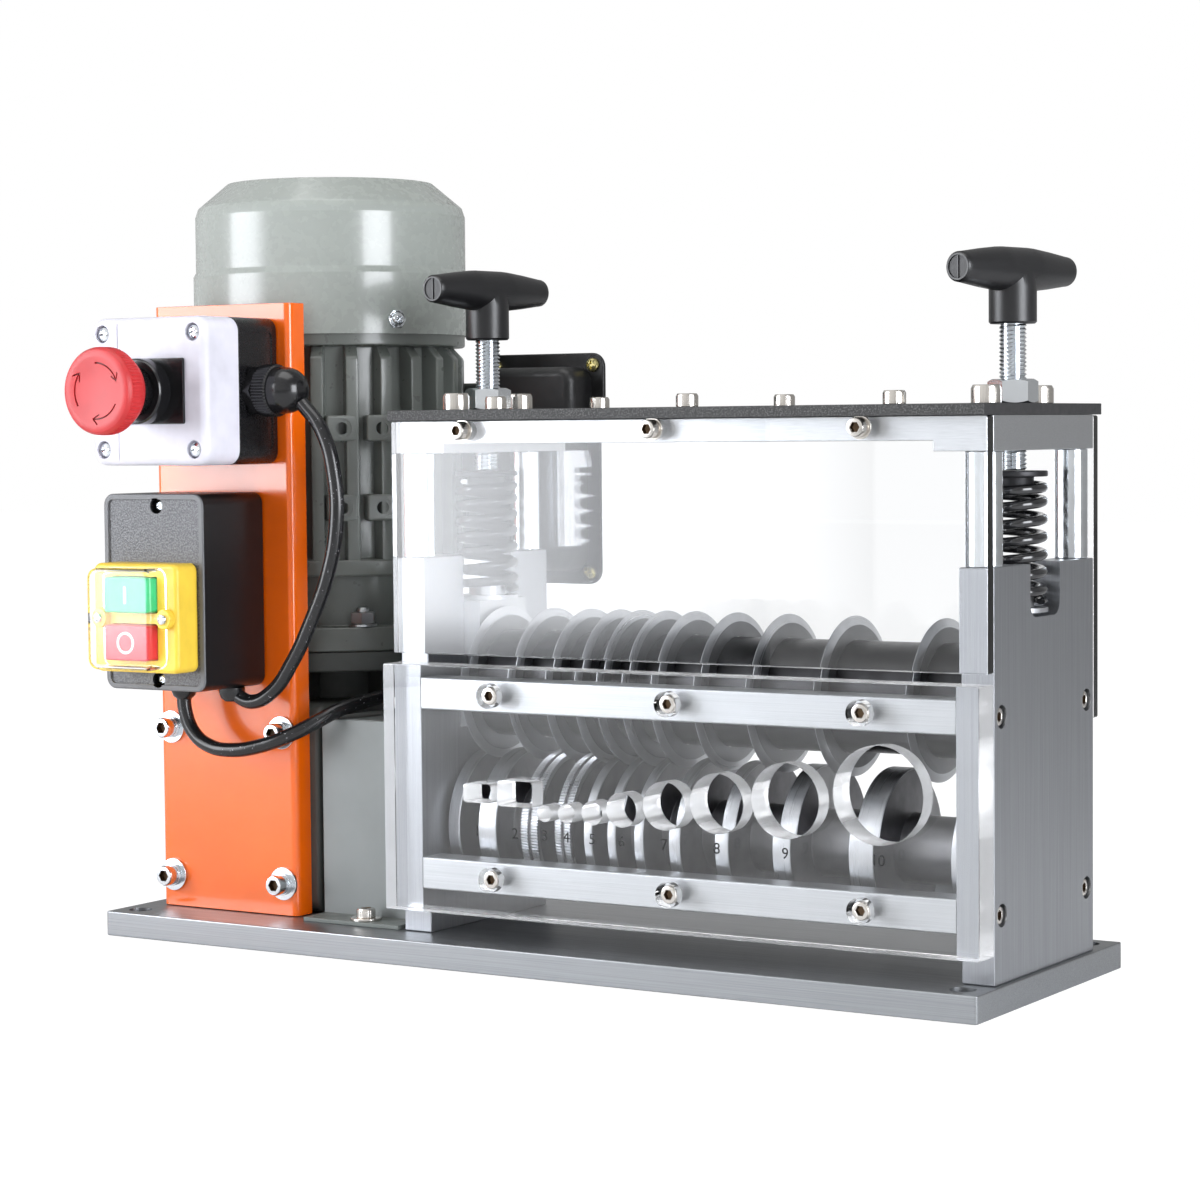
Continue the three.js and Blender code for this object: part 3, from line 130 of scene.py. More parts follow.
# Finishes
def add_node(tree, kind, *values, **named):
    """A new shader node with its settings, then with values or other outputs in its sockets."""
    node = tree.nodes.new("ShaderNode" + kind)
    sockets = list(enumerate(values))
    for key, value in named.items():
        if hasattr(node, key):
            setattr(node, key, value)
        else:
            sockets.append((key, value))
    for key, value in sockets:
        if isinstance(value, bpy.types.NodeSocket):
            tree.links.new(value, node.inputs[key])
        else:
            node.inputs[key].default_value = value
    return node


class Finish:
    """A material whose colour, roughness and relief come from noise of real sizes."""

    def __init__(self, name, color, metallic=0.0, roughness=0.5, **sockets):
        self.material = bpy.data.materials.new(name)
        self.material.use_nodes = True
        self.tree = self.material.node_tree
        self.shader = self.tree.nodes["Principled BSDF"]
        self.color = (*color, 1)
        sockets |= {"base_color": self.color, "metallic": metallic, "roughness": roughness}
        for socket, value in sockets.items():
            title = socket.replace("_", " ").title().replace("Ior", "IOR")
            self.shader.inputs[title].default_value = value

    def noise(self, size, detail=3.0):
        """Noise whose grains are size millimetres along each axis."""
        sizes = size if isinstance(size, tuple) else (size,) * 3
        place = add_node(self.tree, "TexCoord").outputs["Object"]
        mapping = add_node(self.tree, "Mapping", place, Scale=[1 / (s * MM) for s in sizes])
        scaled = mapping.outputs["Vector"]
        return add_node(self.tree, "TexNoise", scaled, Scale=1, Detail=detail).outputs["Fac"]

    def ranged(self, value, low, high, start=0.3, end=0.7):
        return add_node(self.tree, "MapRange", value, start, end, low, high).outputs["Result"]

    def follow(self, socket, output):
        self.tree.links.new(output, self.shader.inputs[socket])
        return self

    def dulled(self, value, low, high):
        """Roughness from low to high with the noise."""
        return self.follow("Roughness", self.ranged(value, low, high))

    def mottled(self, value, other, start=0.3, end=0.7):
        """Colour that goes from the finish's own to another with the noise."""
        share = self.ranged(value, 0, 1, start, end)
        colors = {"A": self.color, "B": (*other, 1)}
        mix = add_node(self.tree, "Mix", data_type="RGBA", Factor=share, **colors)
        return self.follow("Base Color", mix.outputs["Result"])

    def relief(self, value, height, strength=1.0):
        """A bump of that height in millimetres."""
        bump = add_node(self.tree, "Bump", Height=value, Strength=strength, Distance=height * MM)
        return self.follow("Normal", bump.outputs["Normal"])

    def mixed_with(self, other, share):
        """The finish where share is 0, and another shader node's where it is 1."""
        mix = add_node(self.tree, "MixShader", share, self.shader.outputs[0], other.outputs[0])
        self.tree.links.new(mix.outputs[0], self.tree.nodes["Material Output"].inputs["Surface"])
        return self


def brushed(name, grain, color=(0.47, 0.485, 0.5), darker=(0.38, 0.39, 0.405)):
    """Aluminium with its brush marks along one axis; grain is the size of a mark."""
    finish = Finish(name, color, metallic=1.0, roughness=0.36)
    marks = finish.noise(grain, 5.0)
    return finish.mottled(marks, darker).dulled(marks, 0.3, 0.46).relief(marks, 0.03, 0.5)


def turned_metal(name, color, darker, marks, low, high):
    """Turned steel with fine rings round the shaft's axis."""
    finish = Finish(name, color, metallic=1.0, roughness=0.35)
    rings = finish.noise((marks, 60, 60))
    finish.mottled(finish.noise(9), darker)
    return finish.dulled(rings, low, high).relief(rings, 0.02, 0.5)


def smudged(name, color, roughness, metallic=0.0, **sockets):
    """A plain finish that is duller and glossier in places."""
    finish = Finish(name, color, metallic, roughness, **sockets)
    return finish.dulled(finish.noise(6), roughness * 0.8, roughness * 1.3)


def moulded(name, color, roughness, grain=0.6, height=0.02):
    """Moulded plastic with a fine skin and a faint change of tone."""
    finish = Finish(name, color, roughness=roughness)
    skin = finish.noise(grain)
    finish.mottled(finish.noise(14), tuple(channel * 0.86 for channel in color))
    return finish.dulled(skin, roughness * 0.9, roughness * 1.15).relief(skin, height, 0.6)


def painted(
    name, color, roughness, film=2.2, height=0.035, patches=(0.9, 1.2), deeper=0.9, **sockets
):
    """Paint with the slow waves of its film, and patches that are duller and deeper."""
    finish = Finish(name, color, roughness=roughness, **sockets)
    waves = finish.noise(film, 2.0)
    finish.mottled(finish.noise(30), tuple(channel * deeper for channel in color))
    finish.dulled(finish.noise(5), roughness * patches[0], roughness * patches[1])
    return finish.relief(waves, height, 0.5)


def speckled(name, color, fleck, roughness, grain, height, start, end):
    """Rough plastic with paler flecks that stand out of it."""
    finish = Finish(name, color, roughness=roughness)
    grains = finish.noise(grain, 2.0)
    return finish.mottled(grains, fleck, start, end).relief(grains, height)


def clear(name, color, roughness, transmission=1.0, ior=1.49):
    """Clear plastic that lets the lamps through to what is behind it."""
    finish = Finish(name, color, roughness=roughness, transmission_weight=transmission, ior=ior)
    path = add_node(finish.tree, "LightPath")
    through = add_node(finish.tree, "BsdfTransparent")
    return finish.mixed_with(through, path.outputs["Is Shadow Ray"])


ALONG_X = (70, 0.35, 0.35)
ALONG_Z = (0.35, 0.35, 70)
MILLED = (9, 0.5, 0.5)
finishes = {
    "brushed_x": brushed("brushed_along_x", ALONG_X),
    "base": brushed("brushed_base", ALONG_X, (0.34, 0.35, 0.365), (0.25, 0.26, 0.27)),
    "brushed_z": brushed("brushed_along_z", ALONG_Z, (0.36, 0.37, 0.39), (0.29, 0.3, 0.32)),
    "machined": brushed("machined_aluminium", MILLED, (0.5, 0.51, 0.525), (0.42, 0.43, 0.445)),
    "zinc": smudged("zinc_plate", (0.72, 0.75, 0.78), 0.16, 1.0),
    "bolt": smudged("dull_zinc", (0.5, 0.52, 0.53), 0.38, 1.0),
    "nickel": smudged("nickel_plate", (0.62, 0.59, 0.55), 0.2, 1.0),
    # The hex sockets are a dark bronze, darker than the plated heads: painted shade in them.
    "recess": smudged("socket_recess_shade", (0.16, 0.11, 0.07), 0.4, 1.0),
    "drum": turned_metal(
        "drum_steel", (0.06, 0.06, 0.064), (0.038, 0.038, 0.04), 0.5, 0.3, 0.42
    ),
    "blade": turned_metal(
        "blade_steel", (0.17, 0.174, 0.18), (0.13, 0.133, 0.14), 0.6, 0.34, 0.46
    ),
    "ground": turned_metal(
        "ground_steel", (0.5, 0.51, 0.53), (0.42, 0.43, 0.45), 0.25, 0.26, 0.38
    ),
    "roller": turned_metal(
        "roller_steel", (0.25, 0.25, 0.26), (0.18, 0.18, 0.19), 0.4, 0.34, 0.48
    ),
    "spring": smudged("oiled_spring", (0.008, 0.008, 0.009), 0.16, coat_weight=0.5),
    "black_steel": smudged("black_oxide", (0.03, 0.03, 0.032), 0.4, 0.8),
    "top_skin": painted("black_top", (0.018, 0.018, 0.019), 0.5, 0.7, 0.02),
    "sawn": speckled(
        "sawn_edge", (0.022, 0.022, 0.022), (0.1, 0.1, 0.1), 0.62, 0.7, 0.15, 0.48, 0.66
    ),
    "handle": moulded("handle_black", (0.007, 0.007, 0.008), 0.34, 0.9, 0.015),
    "handle_end": moulded("handle_plug", (0.05, 0.05, 0.052), 0.5),
    "casting": painted("dark_casting", (0.075, 0.082, 0.076), 0.45, 1.4, 0.12),
    # The motor frame's paint is a darker copy of the cowl's paint: painted shade for the shade
    # among its fins.
    "motor": painted(
        "motor_paint", (0.14, 0.153, 0.14), 0.3, 2.6, 0.06, coat_weight=0.3, coat_roughness=0.15
    ),
    "cowl": painted(
        "cowl_paint",
        (0.31, 0.334, 0.31),
        0.27,
        film=9,
        height=0.01,
        patches=(0.98, 1.04),
        deeper=0.98,
        coat_weight=0.5,
        coat_roughness=0.1,
    ),
    "guard": painted("guard_paint", (0.21, 0.228, 0.225), 0.36),
    "guard_foot": painted("guard_foot_paint", (0.14, 0.155, 0.145), 0.45),
    "gloss_black": smudged("gloss_black", (0.004, 0.004, 0.0045), 0.42),
    "orange": painted(
        "orange_powder", (0.93, 0.14, 0.002), 0.2, 3.5, 0.03, coat_weight=0.6, coat_roughness=0.06
    ),
    "station_box": moulded("station_box", (0.006, 0.006, 0.007), 0.26, 0.5, 0.01),
    "station_cover": moulded("station_cover", (0.73, 0.72, 0.8), 0.45, 0.4, 0.006),
    "legend": smudged("legend_plate", (0.008, 0.008, 0.009), 0.2),
    "mushroom": moulded("mushroom_red", (0.56, 0.022, 0.025), 0.42, 0.45, 0.012),
    # The arrows' floors are a darker red than the mushroom: painted shade in the grooves.
    "groove": moulded("arrow_groove_shade", (0.2, 0.006, 0.008), 0.5),
    "gland": moulded("gland_black", (0.008, 0.008, 0.009), 0.2, 0.8, 0.008),
    "switch_side": moulded("switch_side", (0.005, 0.005, 0.006), 0.36, 0.5, 0.015),
    "switch_rim": moulded("switch_rim", (0.13, 0.132, 0.14), 0.42, 0.5, 0.01),
    "switch_plate": speckled(
        "switch_plate", (0.055, 0.056, 0.062), (0.14, 0.142, 0.152), 0.38, 0.9, 0.25, 0.42, 0.6
    ),
    "yellow": moulded("bezel_yellow", (0.88, 0.6, 0.06), 0.36, 0.5, 0.008),
    "green": moulded("start_green", (0.02, 0.42, 0.17), 0.3, 0.6, 0.004),
    "red": moulded("stop_red", (0.5, 0.018, 0.03), 0.3, 0.6, 0.004),
    "symbol": moulded("white_symbol", (0.85, 0.85, 0.85), 0.5),
    "print": moulded("printed_mark", (0.006, 0.006, 0.007), 0.6),
    "yellow_zinc": smudged("yellow_zinc", (0.62, 0.55, 0.25), 0.25, 1.0),
    "fan": moulded("fan_black", (0.012, 0.012, 0.012), 0.5),
    "jacket": moulded("lead_jacket", (0.008, 0.008, 0.009), 0.22, 1.4, 0.02),
    "acrylic": clear("clear_acrylic", (0.985, 0.99, 0.995), 0.0),
    "cut_acrylic": clear("cut_acrylic", (1.0, 1.0, 1.0), 0.22, 0.72),
    "membrane": clear("clear_membrane", (0.97, 0.97, 0.98), 0.05, ior=1.3),
}
# Pale specks in the lead jacket's colour are painted glints, tiny highlights on its gloss.
flecks = finishes["jacket"].noise(1.1, 1.0)
finishes["jacket"].mottled(flecks, (0.3, 0.3, 0.32), 0.72, 0.76)


# Forms: closed meshes built in bmesh
def value_at(value, angle):
    return value(angle) if callable(value) else value


def turned(profile, axis="z", centre=(0, 0, 0), sides=96, closed=False, bands=None):
    """Profile of (radius, place) pairs turned about an axis through centre.

    A radius or place may be a function of the angle. bands gives the finish of each step
    of the profile.
    """
    form = bmesh.new()
    rings = []
    for radius, place in profile:
        single = not callable(radius) and radius < TINY
        ring = []
        for i in range(1 if single else sides):
            angle = 2 * math.pi * i / sides
            r = value_at(radius, angle)
            u, v, w = r * math.cos(angle), r * math.sin(angle), value_at(place, angle)
            point = {
                "x": (w, centre[1] + u, centre[2] + v),
                "y": (centre[0] + v, w, centre[2] + u),
                "z": (centre[0] + u, centre[1] + v, w),
            }[axis]
            ring.append(form.verts.new(Vector(point) * MM))
        rings.append(ring)
    pairs = list(zip(rings, rings[1:]))
    if closed:
        pairs.append((rings[-1], rings[0]))
    for step, (a, b) in enumerate(pairs):
        for i in range(sides):
            j = (i + 1) % sides
            corners = (a[i % len(a)], a[j % len(a)], b[j % len(b)], b[i % len(b)])
            corners = list(dict.fromkeys(corners))
            if len(corners) > 2:
                face = form.faces.new(corners)
                face.material_index = bands[step] if bands else 0
    bmesh.ops.recalc_face_normals(form, faces=form.faces)
    return form


NEARLY_STRAIGHT = math.radians(165)


def eased(profile, edge=0.5):
    """The profile with its corners eased by small arcs of two steps."""
    points = [Vector(point) for point in profile]
    result = [tuple(points[0])]
    for before, here, after in zip(points, points[1:], points[2:]):
        to_before, to_after = before - here, after - here
        if to_before.length < TINY or to_after.length < TINY:
            continue
        if to_before.angle(to_after) > NEARLY_STRAIGHT:
            result.append(tuple(here))
            continue
        size = min(edge, to_before.length / 3, to_after.length / 3)
        first = here + to_before.normalized() * size
        last = here + to_after.normalized() * size
        chord = (first + last) / 2
        crown = (chord + (chord + here) / 2) / 2
        result += [tuple(first), tuple(crown), tuple(last)]
    return [*result, tuple(points[-1])]


LEAST_CORNER = 0.05


def rounded(u, v, corner, inset=0.0, steps=6):
    """Points round a rectangle with round corners, all of it inset."""
    u0, u1, v0, v1 = u[0] + inset, u[1] - inset, v[0] + inset, v[1] - inset
    radius = max(corner - inset, LEAST_CORNER)
    corners = [
        (u1 - radius, v1 - radius, 0),
        (u0 + radius, v1 - radius, 90),
        (u0 + radius, v0 + radius, 180),
        (u1 - radius, v0 + radius, 270),
    ]
    return [
        (
            cu + radius * math.cos(math.radians(start + 90 * i / steps)),
            cv + radius * math.sin(math.radians(start + 90 * i / steps)),
        )
        for cu, cv, start in corners
        for i in range(steps + 1)
    ]


def on_axis(axis, u, v, w):
    return {"x": (w, u, v), "y": (u, w, v), "z": (u, v, w)}[axis]


def skinned(rings):
    """A solid through rings of as many points each, with its two ends closed."""
    form = bmesh.new()
    rings = [[form.verts.new(point * MM) for point in ring] for ring in rings]
    for a, b in zip(rings, rings[1:]):
        for i in range(len(a)):
            j = (i + 1) % len(a)
            form.faces.new((a[i], a[j], b[j], b[i]))
    form.faces.new(rings[0])
    form.faces.new(rings[-1])
    bmesh.ops.recalc_face_normals(form, faces=form.faces)
    return form


def stacked(layers, axis):
    """A solid through outlines of equal length, each at its own place along the axis."""
    return skinned(
        [Vector(on_axis(axis, u, v, place)) for u, v in outline] for outline, place in layers
    )


def slab(u, v, ends, axis, corner=0.6, edges=(0.4, 0.4), steps=6, edge_steps=4):
    """A plate with round corners and eased edges at its two ends."""
    layers = []
    for end, edge, sign in ((ends[0], edges[0], 1), (ends[1], edges[1], -1)):
        part = []
        for i in range(edge_steps + 1):
            angle = math.radians(90 * i / edge_steps)
            inset = edge * (1 - math.sin(angle))
            place = end + sign * edge * (1 - math.cos(angle))
            part.append((rounded(u, v, corner, inset, steps), place))
        layers += part if sign == 1 else part[::-1]
    return stacked(layers, axis)


def plain_slab(u, v, ends, axis, corner, steps, edge=0.05):
    """A slab with one small chamfer round each end."""
    return slab(u, v, ends, axis, corner, (edge, edge), steps, 1)


def filling(node, axis, corner, edges, steps=6, edge_steps=4, inset=0, ends=None):
    """A slab as large as a CAD node's box, with its sides inset and its ends moved."""
    low, high = span(node)
    u, v, w = {"x": (1, 2, 0), "y": (0, 2, 1), "z": (0, 1, 2)}[axis]
    sides = [(low[i] + inset, high[i] - inset) for i in (u, v)]
    return slab(*sides, ends or (low[w], high[w]), axis, corner, edges, steps, edge_steps)


def prism(outline, ends, axis):
    return stacked([(outline, end) for end in ends], axis)


def rod(diameter, ends, axis, centre=(0, 0, 0), sides=64, edge=0.0):
    r = diameter / 2
    profile = [(0, ends[0]), (r, ends[0]), (r, ends[1]), (0, ends[1])]
    return turned(eased(profile, edge) if edge else profile, axis, centre, sides)


CUT_PAST = 2


def past(start, end):
    """The two ends of a cutter that goes right through."""
    return start - CUT_PAST, end + CUT_PAST


def as_mesh(form, name="form"):
    """The form's mesh. The form itself is used up."""
    mesh = bpy.data.meshes.new(name)
    form.to_mesh(mesh)
    form.free()
    return mesh


def combined(form, others, operation="DIFFERENCE"):
    """The form with other forms cut from it or joined to it."""
    base, *tools = (as_object("form", as_mesh(each)) for each in (form, *others))
    for tool in tools:
        modifier = base.modifiers.new("step", "BOOLEAN")
        modifier.object = tool
        modifier.operation = operation
        modifier.solver = "MANIFOLD"
    result = bmesh.new()
    result.from_object(base, bpy.context.evaluated_depsgraph_get())
    for obj in (base, *tools):
        bpy.data.objects.remove(obj)
    bmesh.ops.remove_doubles(result, verts=result.verts, dist=TINY)
    return result


def joined(form, *others):
    return combined(form, others, "UNION")


def softened(form, edge, segments=2, angle=30):
    """The form with its sharp edges rounded."""
    limit = math.radians(angle)
    bmesh.ops.bevel(
        form,
        geom=[e for e in form.edges if len(e.link_faces) == 2 and e.calc_face_angle() > limit],
        offset=edge * MM,
        segments=segments,
        profile=0.5,
        affect="EDGES",
        clamp_overlap=True,
    )
    return form


def from_cad(node, edge=0.3):
    """A CAD node's own shape with its sharp edges rounded."""
    form = bmesh.new()
    form.from_mesh(frame["nodes"][node].data)
    bmesh.ops.remove_doubles(form, verts=form.verts, dist=TINY)
    limit = math.radians(1)
    bmesh.ops.dissolve_limit(form, angle_limit=limit, verts=form.verts, edges=form.edges)
    return softened(form, edge)


def facing(direction, at, turn=0.0):
    """Where a form that points up from the origin goes to point in a direction."""
    rotation = Vector((0, 0, 1)).rotation_difference(Vector(direction)).to_matrix().to_4x4()
    return Matrix.Translation(Vector(at) * MM) @ rotation @ Matrix.Rotation(turn, 4, "Z")


def swung(form, centre, angle):
    """The form turned about Z and set on an upright axis."""
    place = Matrix.Translation(Vector(centre) * MM) @ Matrix.Rotation(angle, 4, "Z")
    bmesh.ops.transform(form, matrix=place, verts=form.verts)
    return form


def repeated(form, places):
    """Copies of a form at several places, as one form."""
    source = as_mesh(form)
    result = bmesh.new()
    for matrix in places:
        copy = source.copy()
        copy.transform(matrix)
        result.from_mesh(copy)
        bpy.data.meshes.remove(copy)
    bpy.data.meshes.remove(source)
    return result


def gathered(*forms):
    """Several closed forms as one."""
    result = bmesh.new()
    for form in forms:
        mesh = as_mesh(form)
        result.from_mesh(mesh)
        bpy.data.meshes.remove(mesh)
    return result


def painted_where(form, index, test):
    """Gives the faces that pass the test another of the piece's finishes."""
    for face in form.faces:
        if test(face.calc_center_median() / MM, face.normal):
            face.material_index = index
    return form


def enrolled(obj, node=None, body="machine_frame", slot="zinc_steel"):
    """Gives an object its body, from the CAD node that it stands for if there is one."""
    if node:
        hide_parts(node)
        body, slot = frame["nodes"][node]["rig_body"], slot_of[node]
    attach(obj, body)


def piece(name, form, looks, node=None, body="machine_frame", slot="zinc_steel", smooth=32):
    """A finished piece with its looks."""
    mesh = as_mesh(form, name)
    for look in (looks,) if isinstance(looks, str) else looks:
        mesh.materials.append(finishes[look].material)
    mesh.polygons.foreach_set("use_smooth", [True] * len(mesh.polygons))
    mesh.set_sharp_from_angle(angle=math.radians(smooth))
    obj = as_object(name, mesh)
    enrolled(obj, node, body, slot)
    flats = obj.modifiers.new("flat_faces", "WEIGHTED_NORMAL")
    flats.keep_sharp = True
    return obj


def stand_in(node, form, looks, smooth=32):
    return piece(node + "_form", form, looks, node, smooth=smooth)


def fasteners(name, form, direction, places, looks=("nickel", "recess"), turn=0.0):
    """Copies of a fastener that point in one direction, as one piece."""
    piece(name, repeated(form, [facing(direction, at, turn) for at in places]), looks)


# Leads between the controls and the motor
LEAD_DIAMETER = 7
STOP_LEAD = [
    (-119.7, -64, 260.4), (-108, -64.8, 248), (-100.6, -65, 226), (-100, -65, 202),
    (-105, -65, 180.5), (-115.5, -65, 157.5), (-127.5, -65, 137), (-139.3, -65, 123.2),
    (-152, -65, 117.8), (-162.3, -65, 121.1),
]  # fmt: skip
MOTOR_LEAD = [
    (-193.5, -65, 124), (-193, -65, 112), (-187.5, -65, 101), (-178, -65, 95.3),
    (-166, -64.5, 93.8), (-150, -62, 96.2), (-135, -57.5, 101.8), (-125.5, -49, 107.8),
    (-119.5, -37.5, 113.2), (-114.5, -23, 116.2), (-110, -6, 119), (-104.5, 14, 122.5),
    (-98, 35, 130), (-91, 54, 141), (-86, 67, 154), (-84.2, 71.4, 165), (-84, 71.8, 176.2),
]  # fmt: skip


def lead(node, route):
    """A round lead along a curve through the points of its route."""
    curve = bpy.data.curves.new(node + "_cord", "CURVE")
    curve.dimensions = "3D"
    curve.bevel_depth = LEAD_DIAMETER / 2 * MM
    curve.bevel_resolution = 6
    curve.resolution_u = 10
    curve.use_fill_caps = True
    line = curve.splines.new("BEZIER")
    line.bezier_points.add(len(route) - 1)
    for point, place in zip(line.bezier_points, route):
        point.co = Vector(place) * MM
        point.handle_left_type = point.handle_right_type = "AUTO"
    curve.materials.append(finishes["jacket"].material)
    obj = as_object(node + "_cord", curve)
    enrolled(obj, node)
    bpy.context.view_layer.update()


lead("estop_lead", STOP_LEAD)
lead("motor_lead", MOTOR_LEAD)


# Fasteners
def hexagon(flats):
    """Radius of a hexagon at each angle."""
    return lambda angle: flats / 2 / math.cos((angle % (math.pi / 3)) - math.pi / 6)


def fluted(radius, wave, count):
    """Radius of a ribbed wall at each angle, from radius down by twice the wave."""
    return lambda angle: radius - wave + wave * math.cos(count * angle)


# Cap screws: the head's diameter and height, and the key
M5 = (8.5, 5, 4)
M6 = (10, 6, 5)
M8 = (13, 8, 6)


def socket_screw(head, height, key):
    """Cap screw head standing on z = 0: knurled side, eased top and hexagon socket."""
    r = head / 2
    knurl = fluted(r, 0.05, 32)
    key_wall = hexagon(key)
    depth = 0.55 * height

    def rim(angle):
        return key_wall(angle) + 0.2

    profile = [
        (0, 0),
        (r - 0.3, 0),
        (knurl, 0.3),
        (knurl, 0.8 * height),
        (0.88 * r, height - 0.1),
        (0.8 * r, height),
        (rim, height),
        (key_wall, height - 0.2),
        (key_wall, height - depth),
        (0, height - depth - 0.6),
    ]
    # The socket's walls and floor take the second finish, dark as painted shade.
    return turned(profile, bands=[0] * 7 + [1] * 2)


def hex_nut(flats, height, hole=0.0):
    """Nut or bolt head standing on z = 0, with its corners eased."""
    side = hexagon(flats)
    face = flats / 2 * 0.95

    def drop(angle):
        return (side(angle) - face) * math.tan(math.radians(30))

    profile = [(face, 0), (side, drop), (side, lambda angle: height - drop(angle)), (face, height)]
    if hole:
        r = hole / 2
        bore = [(r + 0.4, height), (r, height - 0.4), (r, 0.4), (r + 0.4, 0)]
        return turned(profile + bore, closed=True)
    return turned([(0, 0), *profile, (0, height)])


def washer(outer, inner, thickness):
    profile = [(inner / 2, 0), (outer / 2, 0), (outer / 2, thickness), (inner / 2, thickness)]
    return turned(eased(profile + profile[:1], 0.2)[:-1], sides=64, closed=True)


def cross_screw(diameter, height):
    """Domed screw head standing on z = 0 with a cross recess."""
    r = diameter / 2
    profile = [(0, 0), (r, 0), (r, 0.35 * height), (0.86 * r, 0.75 * height)]
    dome = turned([*profile, (0.5 * r, height), (0, height)], sides=48)
    slot = (-0.17 * r, 0.17 * r)
    reach = (-0.62 * r, 0.62 * r)
    ends = (0.35 * height, height + 1)
    bars = [plain_slab(u, v, ends, "z", 0.05, 2) for u, v in ((slot, reach), (reach, slot))]
    return combined(dome, [joined(*bars)])


def threaded(diameter, pitch, ends, centre, sides=32, steps_a_turn=6):
    """Threaded rod along Z."""
    start, end = ends
    count = int((end - start) / pitch * steps_a_turn)
    depth = 0.55 * pitch

    def radius_at(place):
        def radius(angle):
            phase = ((place - start) / pitch - angle / (2 * math.pi)) % 1
            return diameter / 2 - depth * abs(2 * phase - 1)

        return radius

    places = [start + (end - start) * i / count for i in range(count + 1)]
    profile = [(0, start), *((radius_at(place), place) for place in places), (0, end)]
    return turned(profile, "z", centre, sides)


FRONT = (0, -1, 0)
BACK = (0, 1, 0)
UP = (0, 0, 1)
RIGHT = (1, 0, 0)


def raised(form, height):
    return repeated(form, [facing(UP, (0, 0, height))])


# Base plate with its four mounting holes
HOLE_INSET = 12
BASE_HOLE = 11.6
low, high = span("base_plate")
holes = [
    rod(BASE_HOLE, past(low.z, high.z), "z", (x, y, 0))
    for x in (low.x + HOLE_INSET, high.x - HOLE_INSET)
    for y in (low.y + HOLE_INSET, high.y - HOLE_INSET)
]
stand_in("base_plate", combined(filling("base_plate", "z", 1.2, (0.6, 0.6), 3), holes), "base")

# Uprights: slot, block pocket, feed bore and the recesses of the tie screws
SLOT_WIDTH = 31
SLOT_FLOOR = 165
SLOT_CORNER = 6
POCKET_WIDTH = 40.6
POCKET_DEPTH = 8
POCKET_FLOOR = 106.7
POCKET_CORNER = 0.3
OPEN_ABOVE = 20
FEED_BORE = 18.2
FEED_BORE_DEPTH = 10
SHAFT_Y = -2
FEED_AXIS = (0, SHAFT_Y, 61)
BLADE_AXIS = (0, SHAFT_Y, 127)
TIE_Y = (-47, 43)
TIES = [(y, z) for y in TIE_Y for z in (41.3, 125.2)]
RECESS = 10
RECESS_DEPTH = 6
for side, sign in (("right", 1), ("left", -1)):
    node = "upright_" + side
    low, high = span(node)
    outer, inner = (high.x, low.x) if sign > 0 else (low.x, high.x)
    inside = inner - sign * CUT_PAST
    slot_ends, pocket_ends = ((floor, high.z + OPEN_ABOVE) for floor in (SLOT_FLOOR, POCKET_FLOOR))
    slot_sides, pocket_sides = (centred(SHAFT_Y, width) for width in (SLOT_WIDTH, POCKET_WIDTH))
    depth = sorted((inner + sign * POCKET_DEPTH, inside))
    cutters = [
        plain_slab(slot_sides, slot_ends, past(low.x, high.x), "x", SLOT_CORNER, 8, 0.01),
        plain_slab(pocket_sides, pocket_ends, depth, "x", POCKET_CORNER, 2, 0.01),
        rod(FEED_BORE, sorted((inner + sign * FEED_BORE_DEPTH, inside)), "x", FEED_AXIS),
    ]
    seat = outer - sign * RECESS_DEPTH
    recess_ends = sorted((seat, outer + sign * CUT_PAST))
    cutters += [rod(RECESS, recess_ends, "x", (0, y, z)) for y, z in TIES]
    form = combined(filling(node, "x", 0.8, (0.4, 0.4), 3), cutters)
    stand_in(node, form, "brushed_z")
    places = [(seat, y, z) for y, z in TIES]
    fasteners("tie_screws_" + side, socket_screw(*M5), (sign, 0, 0), places)
    for depth in ("front", "rear"):
        node = "guide_rod_%s_%s" % (side, depth)
        low, high = span(node)
        form = rod(high.y - low.y + 0.2, (low.z, high.z), "z", middle(node), 96, 0.5)
        stand_in(node, form, "zinc")

for depth in ("front", "rear"):
    for height in ("upper", "lower"):
        node = "tie_bar_%s_%s" % (depth, height)
        stand_in(node, from_cad(node, 0.25), "brushed_x")

# Top frame and plate with their cap screws
SAWN_BEYOND = 60
TOP_SCREW_X = (-21, 81, 183)
SCREW_X = {"right": 217.5, "left": -55.5}
HEAD_SCREW_Y = (-29.3, 25.4)
stand_in("top_frame", from_cad("top_frame", 0.35), "machined")
plate = painted_where(
    from_cad("top_plate"), 1, lambda c, n: abs(n.z) < 0.5 and abs(c.y) > SAWN_BEYOND
)
stand_in("top_plate", plate, ("top_skin", "sawn"))
top = span("top_plate")[1].z
places = [(x, y, top) for x in TOP_SCREW_X for y in TIE_Y]
fasteners("top_plate_screws", socket_screw(*M6), UP, places)
places = [(x, y, top) for x in SCREW_X.values() for y in HEAD_SCREW_Y]
fasteners("head_block_screws", socket_screw(*M8), UP, places)

